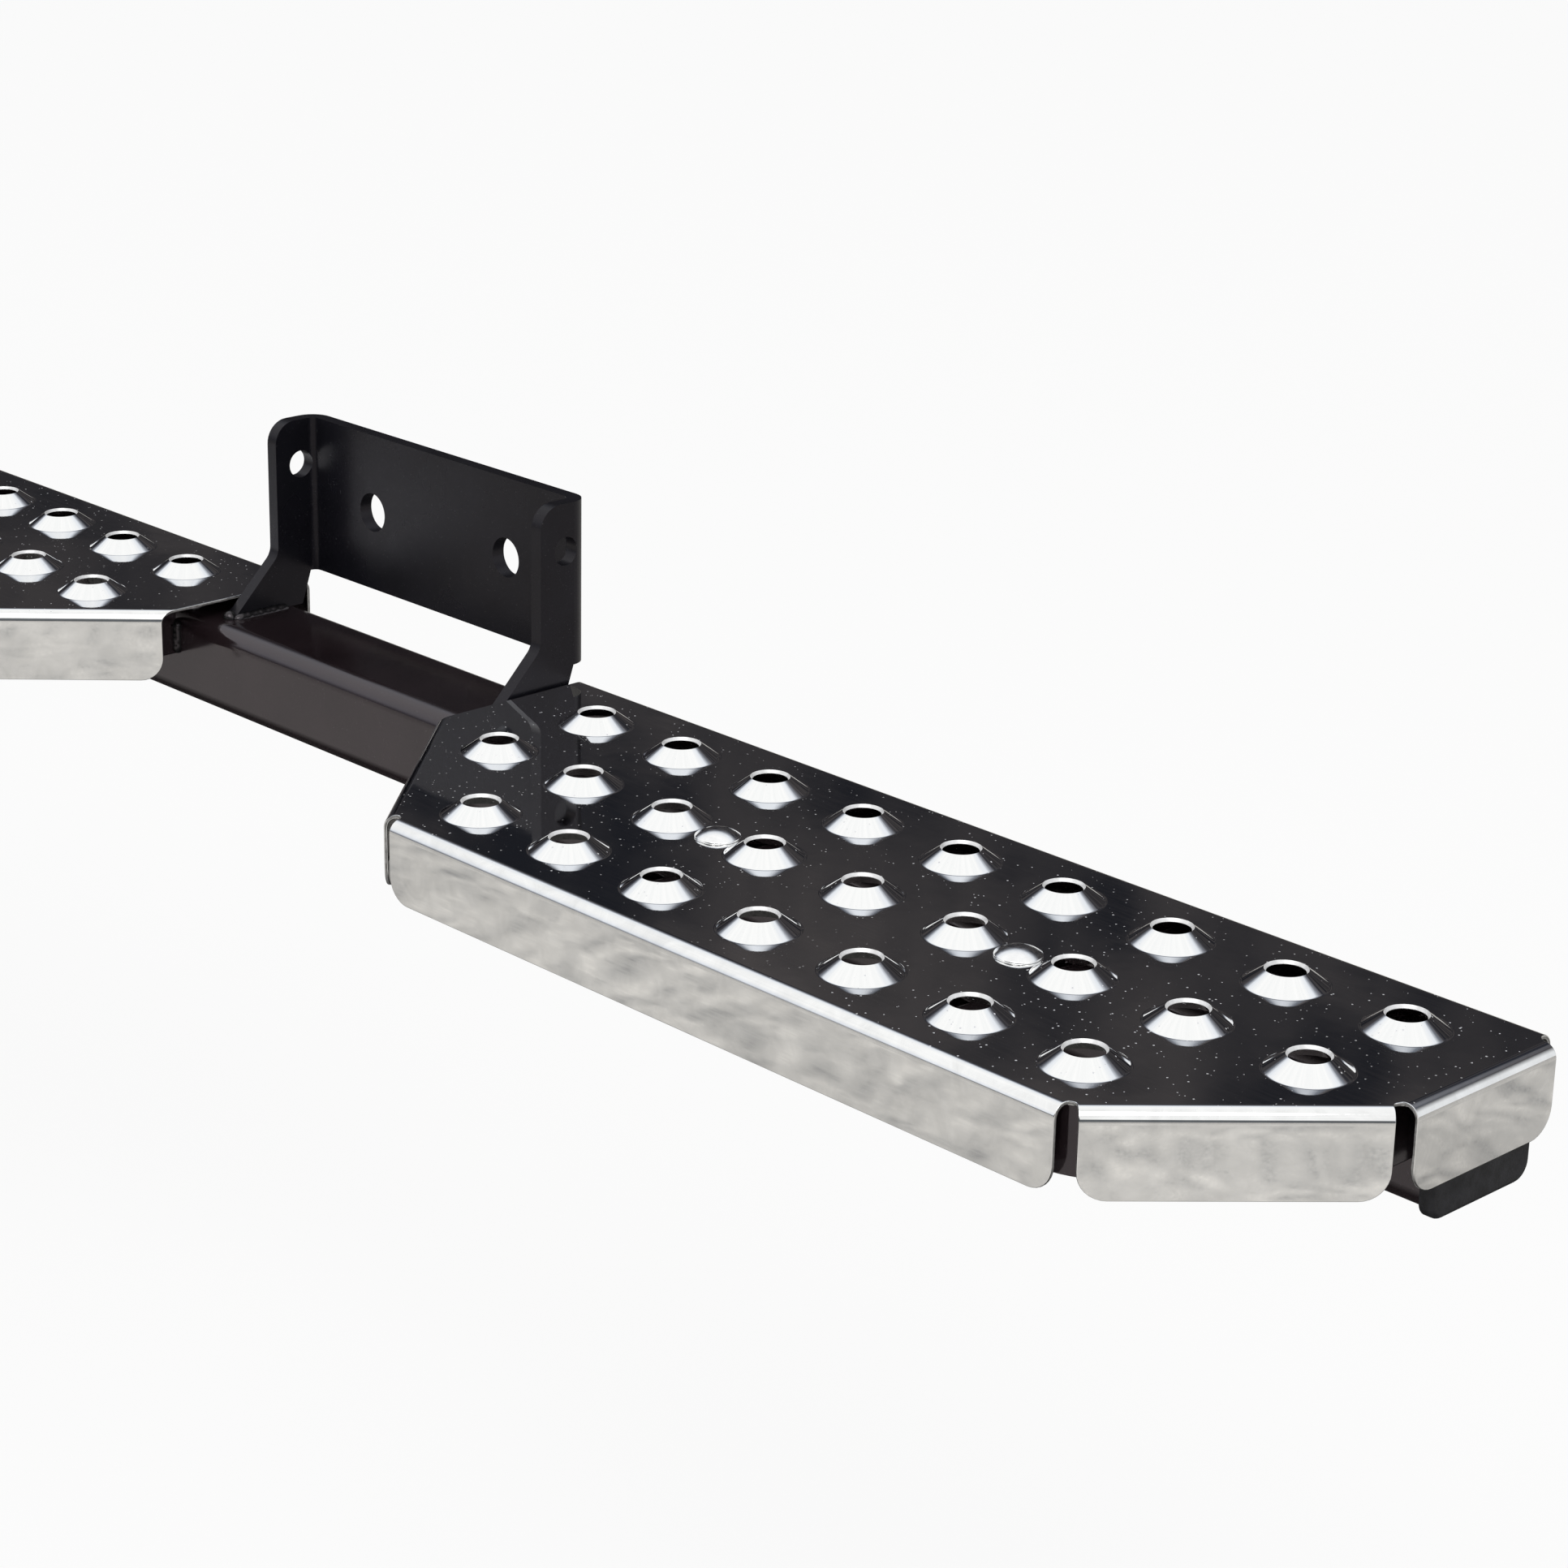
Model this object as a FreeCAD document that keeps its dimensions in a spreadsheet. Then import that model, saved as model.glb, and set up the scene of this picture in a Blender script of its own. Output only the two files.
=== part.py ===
"""Hitch step: two folded stainless treads on a black steel frame with a bolt-on bracket.

Frame: the origin is the middle of the two bolt holes, on the flat back face of the bracket.
+Y points out of that face, +Z up, +X along the tube. Millimetres throughout.
"""
import FreeCAD, Part
import math
import os
import Sketcher

# Driving dimensions, in millimetres
SIZES = [
    # Bracket, one folded plate
    ("bracket_width", 184, "outside of one cheek to outside of the other"),
    ("back_height", 69, "height of the plate with the two bolt holes"),
    ("plate", 6, "plate thickness"),
    ("plate_bend", 3, "inside radius of the two folds"),
    ("bolt_spacing", 90, "between the two bolt holes"),
    ("bolt_hole", 17, "clearance hole for an M16 bolt"),
    ("cheek_depth", 26.5, "cheek, from the bracket's back face to its front edge"),
    ("cheek_round", 10, "radius at the top front corner of a cheek"),
    ("cheek_hole", 12, "eye in each cheek"),
    ("eye_drop", 20, "eye centre below the top edge"),
    ("cheek_step", 10, "front edge runs on this far above the plate's lower edge"),
    ("leg_drop", 14.5, "plate's lower edge above the tube"),
    # Main tube and its end caps
    ("tube_depth", 50, "tube section, front to back"),
    ("tube_height", 40, "tube section, top to bottom"),
    ("tube_wall", 3, "tube wall"),
    ("tube_round", 8, "outside corner radius of the tube"),
    ("tube_setback", 14, "bracket's back face to the tube's back"),
    ("cap_head", 5, "thickness of a cap's head"),
    ("cap_lip", 1.5, "how far the head stands proud of the tube"),
    ("cap_edge", 2, "rounding round the head"),
    ("cap_plug", 16, "length of the part inside the tube"),
    ("cap_wall", 3, "wall of that part"),
    ("cap_fit", 0.2, "clearance of the plug in the tube"),
    ("cap_gap", 4.5, "cap to the tread's outer flange"),
    # Tread, one folded sheet, measured from its middle hole
    ("tread_centre", 340, "middle hole of a tread from the middle of the step"),
    ("inner_gap", 2, "tread's inner edge to the bracket cheek"),
    ("tread_setback", 4, "bracket's back face to the tread's back flange"),
    ("row_to_back", 84, "middle row of holes to the back flange's face"),
    ("row_to_front", 81, "middle row of holes to the front flange's face"),
    ("front_half", 170, "half the front flange's face, up to the corner"),
    ("corner_run", 71, "cut corner, along the step"),
    ("corner_rise", 80, "cut corner, front to back"),
    ("sheet", 1.5, "sheet thickness"),
    ("bend_round", 5, "outside radius of the folds"),
    ("flange_height", 31, "top of the tread to the lower edge of its flanges"),
    ("flange_round", 10, "radius at the flanges' lower corners"),
    ("relief_width", 8, "gap between two flanges at a corner"),
    ("relief_reach", 1, "how far that gap runs in past the fold"),
    ("relief_round", 1.2, "radius at the closed end of that gap"),
    # Pressed grip holes
    ("hole_pitch", 50, "grid of the grip holes, both ways"),
    ("long_row", 9, "holes in the back and the middle row"),
    ("short_row", 7, "holes in the front row"),
    ("cone_base", 30, "diameter of a pressed cone at the sheet"),
    ("cone_rim", 15.3, "diameter at its rim"),
    ("cone_height", 5.3, "rim above the sheet"),
    ("cone_hole", 13.6, "hole in the rim"),
    ("rim_wall", 1.6, "height of the hole's wall"),
    ("cone_foot", 14.6, "radius where the inside of the cone meets the underside"),
    # Under-frame of each tread
    ("hoop_height", 25, "flat bar on edge inside the flanges"),
    ("hoop_thick", 5, "thickness of that bar"),
    ("hoop_gap", 3.5, "bar to the inside of the front flanges"),
    ("hoop_end_gap", 10.5, "ends of the bar to the inside of the outer flange"),
    ("hoop_round", 14, "outside radius of the bar's bends"),
    ("strap_width", 30, "cross strap"),
    ("strap_thick", 6, "cross strap"),
    ("strap_offset", 75, "strap and screw, from the middle of the tread"),
    # Fasteners that hold the tread
    ("screw", 8, "shank diameter"),
    ("screw_hole", 9, "clearance hole for the shank"),
    ("screw_length", 20, "shank below the head"),
    ("head_width", 17.1, "domed head"),
    ("head_height", 3.6, "domed head"),
    ("head_rim", 0.8, "straight edge of the head, under its dome"),
    ("washer_width", 17, "plain washer"),
    ("washer_thick", 1.6, "plain washer"),
    ("washer_hole", 8.4, "plain washer"),
    ("nut_width", 13, "nut, across its flats"),
    ("nut_height", 6.5, "nut"),
    ("nut_hole", 8.1, "bore of the nut round the shank"),
]

# Levels and faces that several pieces share
TUBE_TOP = "(-Sizes.back_height / 2 - Sizes.leg_drop)"
TUBE_BACK = "(-Sizes.tube_setback)"
TUBE_FRONT = "(-Sizes.tube_setback - Sizes.tube_depth)"
FRAME_TOP = f"({TUBE_TOP} + Sizes.strap_thick)"
TREAD_TOP = f"({FRAME_TOP} + Sizes.sheet)"
ROW_Y = "(-Sizes.tread_setback - Sizes.row_to_back)"
INNER_EDGE = "(Sizes.tread_centre - Sizes.bracket_width / 2 - Sizes.inner_gap)"
TREAD_REACH = "(Sizes.front_half + Sizes.corner_run)"
CAP_FACE = f"(Sizes.tread_centre + {TREAD_REACH} - Sizes.sheet - Sizes.cap_gap)"
TUBE_HALF = f"({CAP_FACE} - Sizes.cap_head)"
CORNER_ANGLE = "atan(Sizes.corner_rise / Sizes.corner_run)"

MARGIN = 5          # how far a cut runs past the metal it removes
NEAR = 0.01         # how close a point must lie to a plane to count as on it
SIDES = (("left", -1), ("right", 1))

os.makedirs("parts", exist_ok=True)
doc = FreeCAD.newDocument("HitchStep")
sizes = doc.addObject("Spreadsheet::Sheet", "Sizes")
for row, (alias, value, meaning) in enumerate(SIZES, start=1):
    sizes.set(f"A{row}", alias)
    sizes.set(f"B{row}", str(value))
    sizes.set(f"C{row}", meaning)
    sizes.setAlias(f"B{row}", alias)
doc.recompute()


def place(item, x=None, y=None, z=None):
    """Bind the given coordinates of a body's place to formulas."""
    for axis, formula in (("x", x), ("y", y), ("z", z)):
        if formula is not None:
            item.setExpression(f"Placement.Base.{axis}", formula)


def new_body(name):
    """A body whose label is the name of its node."""
    body = doc.addObject("PartDesign::Body", name)
    body.Label = name
    return body


def new_sketch(body, name, plane, rise=None):
    """A sketch on one of the body's own planes, moved along its normal by a formula."""
    sketch = body.newObject("Sketcher::SketchObject", name)
    support = [item for item in body.Origin.OriginFeatures if item.Role == plane][0]
    sketch.AttachmentSupport = (support, "")
    sketch.MapMode = "FlatFace"
    if rise is not None:
        sketch.setExpression("AttachmentOffset.Base.z", rise)
    return sketch


def polygon(sketch, corners):
    """A closed outline whose corners are pairs of formulas."""
    count = len(corners)
    first = sketch.GeometryCount
    turns = [2 * math.pi * k / count for k in range(count)]
    rough = [FreeCAD.Vector(math.cos(turn), math.sin(turn), 0) for turn in turns]
    for k in range(count):
        sketch.addGeometry(Part.LineSegment(rough[k], rough[(k + 1) % count]), False)
    for k in range(count):
        sketch.addConstraint(Sketcher.Constraint("Coincident", first + k, 2, first + (k + 1) % count, 1))
    for k, corner in enumerate(corners):
        for kind, formula in zip(("DistanceX", "DistanceY"), corner):
            index = sketch.addConstraint(Sketcher.Constraint(kind, -1, 1, first + k, 1, 1.0))
            sketch.setExpression(f"Constraints[{index}]", formula)


def rectangle(sketch, x_low, x_high, y_low, y_high):
    """An upright rectangle between four formulas."""
    polygon(sketch, [(x_low, y_low), (x_high, y_low), (x_high, y_high), (x_low, y_high)])


def circle(sketch, x, y, diameter):
    """A circle at a pair of formulas."""
    index = sketch.addGeometry(Part.Circle(FreeCAD.Vector(0, 0, 0), FreeCAD.Vector(0, 0, 1), 1), False)
    for kind, formula in (("DistanceX", x), ("DistanceY", y)):
        constraint = sketch.addConstraint(Sketcher.Constraint(kind, -1, 1, index, 3, 1.0))
        sketch.setExpression(f"Constraints[{constraint}]", formula)
    constraint = sketch.addConstraint(Sketcher.Constraint("Diameter", index, 2.0))
    sketch.setExpression(f"Constraints[{constraint}]", diameter)


def finished(feature):
    """Work the document out and see that the new feature came out sound."""
    doc.recompute()
    if "Invalid" in feature.State or "Error" in feature.State or not feature.Shape.isValid():
        raise RuntimeError(f"{feature.Label} failed: {feature.State}")
    return feature


def pad(body, name, sketch, length, down=False, both_ways=False):
    """Grow a sketch along its normal, against it, or half each way."""
    feature = body.newObject("PartDesign::Pad", name)
    feature.Profile = sketch
    feature.setExpression("Length", length)
    feature.Reversed = down
    if both_ways:
        feature.SideType = "Symmetric"
    return finished(feature)


def cut(body, name, sketch, both_ways=False):
    """Cut a sketch right through, against its normal or both ways, and see that metal went."""
    before = body.Shape.Volume
    feature = body.newObject("PartDesign::Pocket", name)
    feature.Profile = sketch
    feature.Type = "ThroughAll"
    if both_ways:
        feature.SideType = "Symmetric"
    finished(feature)
    if not body.Shape.Volume < before:
        raise RuntimeError(f"{name} removed nothing")
    return feature


def revolve(body, name, sketch):
    """Turn a sketch right round its own upright axis."""
    feature = body.newObject("PartDesign::Revolution", name)
    feature.Profile = sketch
    feature.ReferenceAxis = (sketch, ["V_Axis"])
    feature.Angle = 360
    return finished(feature)


def fillet(body, name, radius, wanted):
    """Round the edges of the body's last feature that the test picks."""
    base = body.Tip
    names = [f"Edge{k}" for k, edge in enumerate(base.Shape.Edges, start=1) if wanted(edge)]
    if not names:
        raise RuntimeError(f"{name} found no edge")
    feature = body.newObject("PartDesign::Fillet", name)
    feature.Base = (base, names)
    feature.setExpression("Radius", radius)
    return finished(feature)


def size(alias):
    """A driving dimension as a number, for the tests that pick edges."""
    return float(sizes.get(alias))


def ends(edge, axis):
    """Both ends of an edge along one axis."""
    return [getattr(vertex.Point, axis) for vertex in edge.Vertexes]


def along(edge, axis):
    """Whether an edge is straight and runs along one axis."""
    if len(edge.Vertexes) < 2 or not isinstance(edge.Curve, Part.Line):
        return False
    others = [name for name in "xyz" if name != axis]
    return all(abs(ends(edge, name)[0] - ends(edge, name)[1]) < NEAR for name in others)


def lies_at(edge, axis, level):
    """Whether both ends of an edge lie at one level."""
    return all(abs(value - level) < NEAR for value in ends(edge, axis))


def rounded_bar(body, name, width, height, radius, length):
    """A bar along X whose four long edges are rounded."""
    section = new_sketch(body, name + "_section", "YZ_Plane")
    rectangle(section, f"-({width}) / 2", f"({width}) / 2", f"-({height}) / 2", f"({height}) / 2")
    pad(body, name, section, length, both_ways=True)
    fillet(body, name + "_corners", radius, lambda edge: along(edge, "x"))


# Main tube: a rectangular hollow section from end to end
TUBE_Y = f"({TUBE_BACK} - Sizes.tube_depth / 2)"
TUBE_Z = f"({TUBE_TOP} - Sizes.tube_height / 2)"
BORE_DEPTH = "(Sizes.tube_depth - 2 * Sizes.tube_wall)"
BORE_HEIGHT = "(Sizes.tube_height - 2 * Sizes.tube_wall)"
tube = new_body("main_tube")
rounded_bar(tube, "tube_bar", "Sizes.tube_depth", "Sizes.tube_height", "Sizes.tube_round", f"2 * {TUBE_HALF}")
bore = new_sketch(tube, "bore_outline", "YZ_Plane")
rectangle(bore, f"-{BORE_DEPTH} / 2", f"{BORE_DEPTH} / 2", f"-{BORE_HEIGHT} / 2", f"{BORE_HEIGHT} / 2")
cut(tube, "bore", bore, both_ways=True)
bore_half = size("tube_depth") / 2 - size("tube_wall")
fillet(tube, "bore_corners", "Sizes.tube_round - Sizes.tube_wall",
       lambda edge: along(edge, "x") and abs(abs(ends(edge, "y")[0]) - bore_half) < NEAR
       and abs(abs(ends(edge, "z")[0]) - size("tube_height") / 2 + size("tube_wall")) < NEAR)
place(tube, y=TUBE_Y, z=TUBE_Z)


def end_cap(name, side):
    """A plastic plug whose head covers the tube's end and stands a little proud all round."""
    body = new_body(name)
    head_depth = "(Sizes.tube_depth + 2 * Sizes.cap_lip)"
    head_height = "(Sizes.tube_height + 2 * Sizes.cap_lip)"
    head = new_sketch(body, name + "_head_outline", "YZ_Plane")
    rectangle(head, f"-{head_depth} / 2", f"{head_depth} / 2", f"-{head_height} / 2", f"{head_height} / 2")
    pad(body, name + "_head", head, "Sizes.cap_head", down=side < 0)
    fillet(body, name + "_head_corners", "Sizes.tube_round + Sizes.cap_lip", lambda edge: along(edge, "x"))
    face = side * size("cap_head")
    fillet(body, name + "_head_edge", "Sizes.cap_edge", lambda edge: lies_at(edge, "x", face))
    plug = new_sketch(body, name + "_plug_outline", "YZ_Plane")
    half_depth = f"({BORE_DEPTH} / 2 - Sizes.cap_fit)"
    half_height = f"({BORE_HEIGHT} / 2 - Sizes.cap_fit)"
    rectangle(plug, "-" + half_depth, half_depth, "-" + half_height, half_height)
    inside = (f"({half_depth} - Sizes.cap_wall)", f"({half_height} - Sizes.cap_wall)")
    rectangle(plug, "-" + inside[0], inside[0], "-" + inside[1], inside[1])
    pad(body, name + "_plug", plug, "Sizes.cap_plug", down=side > 0)
    outer = size("tube_depth") / 2 - size("tube_wall") - size("cap_fit")
    fillet(body, name + "_plug_corners", "Sizes.tube_round - Sizes.tube_wall - Sizes.cap_fit",
           lambda edge: along(edge, "x") and abs(abs(ends(edge, "y")[0]) - outer) < NEAR
           and edge.Length > size("cap_plug") - NEAR)
    place(body, x=f"{side} * {TUBE_HALF}", y=TUBE_Y, z=TUBE_Z)


for side_name, side in SIDES:
    end_cap(f"end_cap_{side_name}", side)

# Mounting bracket: a plate folded to a U, whose cheeks run down and forward on to the tube
HALF_BRACKET = "(Sizes.bracket_width / 2)"
INSIDE_HALF = "(Sizes.bracket_width / 2 - Sizes.plate)"
PLATE_LOW = "(-Sizes.back_height / 2)"
PLATE_HIGH = "(Sizes.back_height / 2)"
LEG_TOP = f"({PLATE_LOW} + Sizes.cheek_step)"
FOOT_FRONT = f"(-Sizes.cheek_depth - ({LEG_TOP} - {TUBE_TOP}))"
FOLD_END = "(-Sizes.plate - Sizes.plate_bend)"
bracket = new_body("mounting_bracket")
plan = new_sketch(bracket, "bracket_plan", "XY_Plane", TUBE_TOP)
polygon(plan, [
    ("-" + HALF_BRACKET, "0"), (HALF_BRACKET, "0"), (HALF_BRACKET, FOOT_FRONT), (INSIDE_HALF, FOOT_FRONT),
    (INSIDE_HALF, "-Sizes.plate"), ("-" + INSIDE_HALF, "-Sizes.plate"), ("-" + INSIDE_HALF, FOOT_FRONT),
    ("-" + HALF_BRACKET, FOOT_FRONT)])
pad(bracket, "bracket_channel", plan, f"{PLATE_HIGH} - {TUBE_TOP}")
profile = new_sketch(bracket, "cheek_profile", "YZ_Plane")
rectangle(profile, f"{FOOT_FRONT} - {MARGIN}", f"{MARGIN}", f"{TUBE_TOP} - {MARGIN}", f"{PLATE_HIGH} + {MARGIN}")
polygon(profile, [
    ("0", PLATE_HIGH), ("-Sizes.cheek_depth", PLATE_HIGH), ("-Sizes.cheek_depth", LEG_TOP),
    (FOOT_FRONT, TUBE_TOP), (TUBE_BACK, TUBE_TOP), (FOLD_END, PLATE_LOW), ("0", PLATE_LOW)])
cut(bracket, "cheek_outline", profile, both_ways=True)
fillet(bracket, "cheek_corners", "Sizes.cheek_round",
       lambda edge: along(edge, "x") and lies_at(edge, "y", -size("cheek_depth"))
       and lies_at(edge, "z", size("back_height") / 2))
fillet(bracket, "outer_folds", "Sizes.plate + Sizes.plate_bend",
       lambda edge: along(edge, "z") and lies_at(edge, "y", 0))
fillet(bracket, "inner_folds", "Sizes.plate_bend",
       lambda edge: along(edge, "z") and lies_at(edge, "y", -size("plate"))
       and abs(abs(ends(edge, "x")[0]) - size("bracket_width") / 2 + size("plate")) < NEAR)
bolts = new_sketch(bracket, "bolt_centres", "XZ_Plane")
circle(bolts, "-Sizes.bolt_spacing / 2", "0", "Sizes.bolt_hole")
circle(bolts, "Sizes.bolt_spacing / 2", "0", "Sizes.bolt_hole")
cut(bracket, "bolt_holes", bolts, both_ways=True)
eyes = new_sketch(bracket, "eye_centre", "YZ_Plane")
circle(eyes, "-Sizes.cheek_depth / 2", f"{PLATE_HIGH} - Sizes.eye_drop", "Sizes.cheek_hole")
cut(bracket, "cheek_eyes", eyes, both_ways=True)

# Tread: one sheet with a flange folded down along every edge but the inner one
CORNER_Y = "(Sizes.corner_rise - Sizes.row_to_front)"


def inset(distance):
    """Corners of a tread's front, from its outer end round to its inner one, moved in by a distance."""
    front = f"(Sizes.front_half - ({distance}) * tan({CORNER_ANGLE} / 2))"
    end = f"({CORNER_Y} + ({distance}) * tan((90deg - {CORNER_ANGLE}) / 2))"
    reach = f"({TREAD_REACH} - ({distance}))"
    front_y = f"(-Sizes.row_to_front + ({distance}))"
    return [(reach, end), (front, front_y), ("-" + front, front_y), ("-" + reach, end)]


def mirrored(side, corners):
    """The same corners for the tread on one side of the step."""
    return [(f"{side} * ({x})", y) for x, y in corners]


def tread_plan(distance, inner_reach):
    """Outline of a tread moved in by a distance, with its inner edge left where the caller says."""
    outer, front_out, front_in, cut_corner = inset(distance)
    slope = "(Sizes.corner_rise / Sizes.corner_run)"
    inner_y = f"({cut_corner[1]} + ({inner_reach} + {cut_corner[0]}) * {slope})"
    back = f"(Sizes.row_to_back - ({distance}))"
    return [front_in, front_out, outer, (outer[0], back), (f"-({inner_reach})", back),
            (f"-({inner_reach})", inner_y)]


def notch(sketch, side, corner, first, second, spread):
    """A gap at one corner: both flanges end square, and it runs in past their folds.

    The angles are those of the two faces that meet at the corner, along the outline.
    """
    x, y = corner
    depth = "(Sizes.bend_round + Sizes.relief_reach)"
    corners = []
    for angle, shift, reach in ((first, f"-{spread}", f"-{MARGIN}"), (first, f"-{spread}", depth),
                                (second, spread, depth), (second, spread, f"-{MARGIN}")):
        corners.append((f"{x} + ({shift}) * cos({angle}) - ({reach}) * sin({angle})",
                        f"{y} + ({shift}) * sin({angle}) + ({reach}) * cos({angle})"))
    corners.append((f"{x} + {MARGIN} * (sin({first}) + sin({second}))",
                    f"{y} - {MARGIN} * (cos({first}) + cos({second}))"))
    polygon(sketch, mirrored(side, corners))


def flange_end(sketch, side):
    """Ends the corner flange square, where its outer face meets the sheet's inner edge."""
    x, y = tread_plan("0", INNER_EDGE)[-1]
    angle = CORNER_ANGLE
    corners = []
    for deep, on in ((f"-{MARGIN}", "0"), ("Sizes.sheet", "0"), ("Sizes.sheet", MARGIN), (f"-{MARGIN}", MARGIN)):
        corners.append((f"{x} + ({deep}) * sin({angle}) - ({on}) * cos({angle})",
                        f"{y} + ({deep}) * cos({angle}) + ({on}) * sin({angle})"))
    polygon(sketch, mirrored(side, corners))


def grip_row(body, name, y, count):
    """One row of cones pressed up out of the sheet, each with a hole in its rim."""
    first = f"-Sizes.hole_pitch * (Sizes.{count} - 1) / 2"
    blank = new_sketch(body, name + "_blank", "XY_Plane")
    circle(blank, first, y, "Sizes.cone_base")
    opening = cut(body, name + "_opening", blank)
    section = new_sketch(body, name + "_section", "XZ_Plane")
    section.setExpression("AttachmentOffset.Base.x", first)
    section.setExpression("AttachmentOffset.Base.z", f"-({y})")
    base, rim, hole = "Sizes.cone_base / 2", "Sizes.cone_rim / 2", "Sizes.cone_hole / 2"
    polygon(section, [(base, "0"), (rim, "Sizes.cone_height"), (hole, "Sizes.cone_height"),
                      (hole, "Sizes.cone_height - Sizes.rim_wall"), ("Sizes.cone_foot", "-Sizes.sheet"),
                      (base, "-Sizes.sheet")])
    cone = revolve(body, name + "_cone", section)
    row = body.newObject("PartDesign::LinearPattern", name)
    row.Originals = [opening, cone]
    row.Direction = (section, ["H_Axis"])
    row.setExpression("Length", f"Sizes.hole_pitch * (Sizes.{count} - 1)")
    row.setExpression("Occurrences", f"Sizes.{count}")
    body.Tip = row
    finished(row)


def tread(name, side):
    """One folded and pierced tread; its frame is at the middle hole, on top of the sheet."""
    body = new_body(name)
    outline = new_sketch(body, name + "_outline", "XY_Plane")
    polygon(outline, mirrored(side, tread_plan("0", INNER_EDGE)))
    pad(body, name + "_block", outline, "Sizes.flange_height", down=True)
    inner = -side * (size("tread_centre") - size("bracket_width") / 2 - size("inner_gap"))
    fillet(body, name + "_folds", "Sizes.bend_round",
           lambda edge: lies_at(edge, "z", 0) and not lies_at(edge, "x", inner))
    hollow = new_sketch(body, name + "_hollow_outline", "XY_Plane", "-Sizes.sheet")
    polygon(hollow, mirrored(side, tread_plan("Sizes.sheet", f"({INNER_EDGE} + {MARGIN})")))
    cut(body, name + "_hollow", hollow)
    fillet(body, name + "_inner_folds", "Sizes.bend_round - Sizes.sheet",
           lambda edge: lies_at(edge, "z", -size("sheet")) and not lies_at(edge, "x", inner)
           and edge.Length > size("sheet") * 2 and isinstance(edge.Curve, Part.Line))
    outer, front_out, front_in, _ = inset("0")
    narrow = "(Sizes.relief_width / 2 / cos({} / 2))"
    gaps = new_sketch(body, name + "_gap_outlines", "XY_Plane")
    notch(gaps, side, front_in, f"(-{CORNER_ANGLE})", "0", narrow.format(CORNER_ANGLE))
    notch(gaps, side, front_out, "0", CORNER_ANGLE, narrow.format(CORNER_ANGLE))
    notch(gaps, side, outer, CORNER_ANGLE, "90", narrow.format(f"(90deg - {CORNER_ANGLE})"))
    notch(gaps, side, (outer[0], "Sizes.row_to_back"), "90", "180", "Sizes.relief_width")
    flange_end(gaps, side)
    cut(body, name + "_gaps", gaps)
    fillet(body, name + "_flange_corners", "Sizes.flange_round",
           lambda edge: lies_at(edge, "z", -size("flange_height"))
           and abs(edge.Length - size("sheet")) < NEAR)
    fillet(body, name + "_gap_ends", "Sizes.relief_round",
           lambda edge: along(edge, "z") and abs(edge.Length - size("sheet")) < NEAR
           and lies_at_top(edge) and abs(ends(edge, "x")[0] - inner) > MARGIN)
    screws = new_sketch(body, name + "_screw_centres", "XY_Plane")
    for offset in ("-Sizes.strap_offset", "Sizes.strap_offset"):
        circle(screws, offset, "0", "Sizes.screw_hole")
    cut(body, name + "_screw_holes", screws)
    grip_row(body, name + "_back_row", "Sizes.hole_pitch", "long_row")
    grip_row(body, name + "_middle_row", "0", "long_row")
    grip_row(body, name + "_front_row", "-Sizes.hole_pitch", "short_row")
    place(body, x=f"{side} * Sizes.tread_centre", y=ROW_Y, z=TREAD_TOP)


def lies_at_top(edge):
    """Whether an edge reaches from the top of the sheet to its underside."""
    levels = sorted(ends(edge, "z"))
    return abs(levels[1]) < NEAR and abs(levels[0] + size("sheet")) < NEAR


for side_name, side in SIDES:
    tread(f"tread_{side_name}", side)

# Hoop: a flat bar on edge, bent to follow the flanges, with both ends on the tube's front
HOOP_OUTSIDE = "(Sizes.sheet + Sizes.hoop_gap)"
HOOP_INSIDE = f"({HOOP_OUTSIDE} + Sizes.hoop_thick)"
HOOP_REACH = f"({TREAD_REACH} - Sizes.sheet - Sizes.hoop_end_gap)"


def hoop_side(distance, reach):
    """One side of the bar: where an end leaves the cut corner, then the bend by the front flange."""
    front, front_y = inset(distance)[1]
    slope = "(Sizes.corner_rise / Sizes.corner_run)"
    return [(reach, f"({front_y} + ({reach} - {front}) * {slope})"), (front, front_y)]


def hoop(name, side):
    """One flat bar on edge, its two ends square on the tube's front face."""
    body = new_body(name)
    tube_line = f"({TUBE_FRONT} - {ROW_Y})"
    corners = []
    for turn, distance, reach in ((1, HOOP_OUTSIDE, HOOP_REACH),
                                  (-1, HOOP_INSIDE, f"({HOOP_REACH} - Sizes.hoop_thick)")):
        half = [(reach, tube_line)] + hoop_side(distance, reach)
        corners += (half + [(f"-{x}", y) for x, y in reversed(half)])[::turn]
    outline = new_sketch(body, name + "_outline", "XY_Plane")
    polygon(outline, mirrored(side, corners))
    pad(body, name + "_bar", outline, "Sizes.hoop_height", down=True)
    end_y = size("row_to_back") + size("tread_setback") - size("tube_setback") - size("tube_depth")
    inner_bends = hoop_bends()
    fillet(body, name + "_outer_bends", "Sizes.hoop_round",
           lambda edge: along(edge, "z") and not lies_at(edge, "y", end_y) and not near_any(edge, inner_bends))
    fillet(body, name + "_inner_bends", "Sizes.hoop_round - Sizes.hoop_thick",
           lambda edge: along(edge, "z") and near_any(edge, inner_bends))
    place(body, x=f"{side} * Sizes.tread_centre", y=ROW_Y, z=FRAME_TOP)


def hoop_bends():
    """Where the inner corners of the bar lie, as numbers."""
    angle = math.atan(size("corner_rise") / size("corner_run"))
    distance = size("sheet") + size("hoop_gap") + size("hoop_thick")
    reach = size("front_half") + size("corner_run") - size("sheet") - size("hoop_end_gap") - size("hoop_thick")
    front = size("front_half") - distance * math.tan(angle / 2)
    front_y = distance - size("row_to_front")
    return [(front, front_y), (reach, front_y + (reach - front) * math.tan(angle))]


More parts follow.
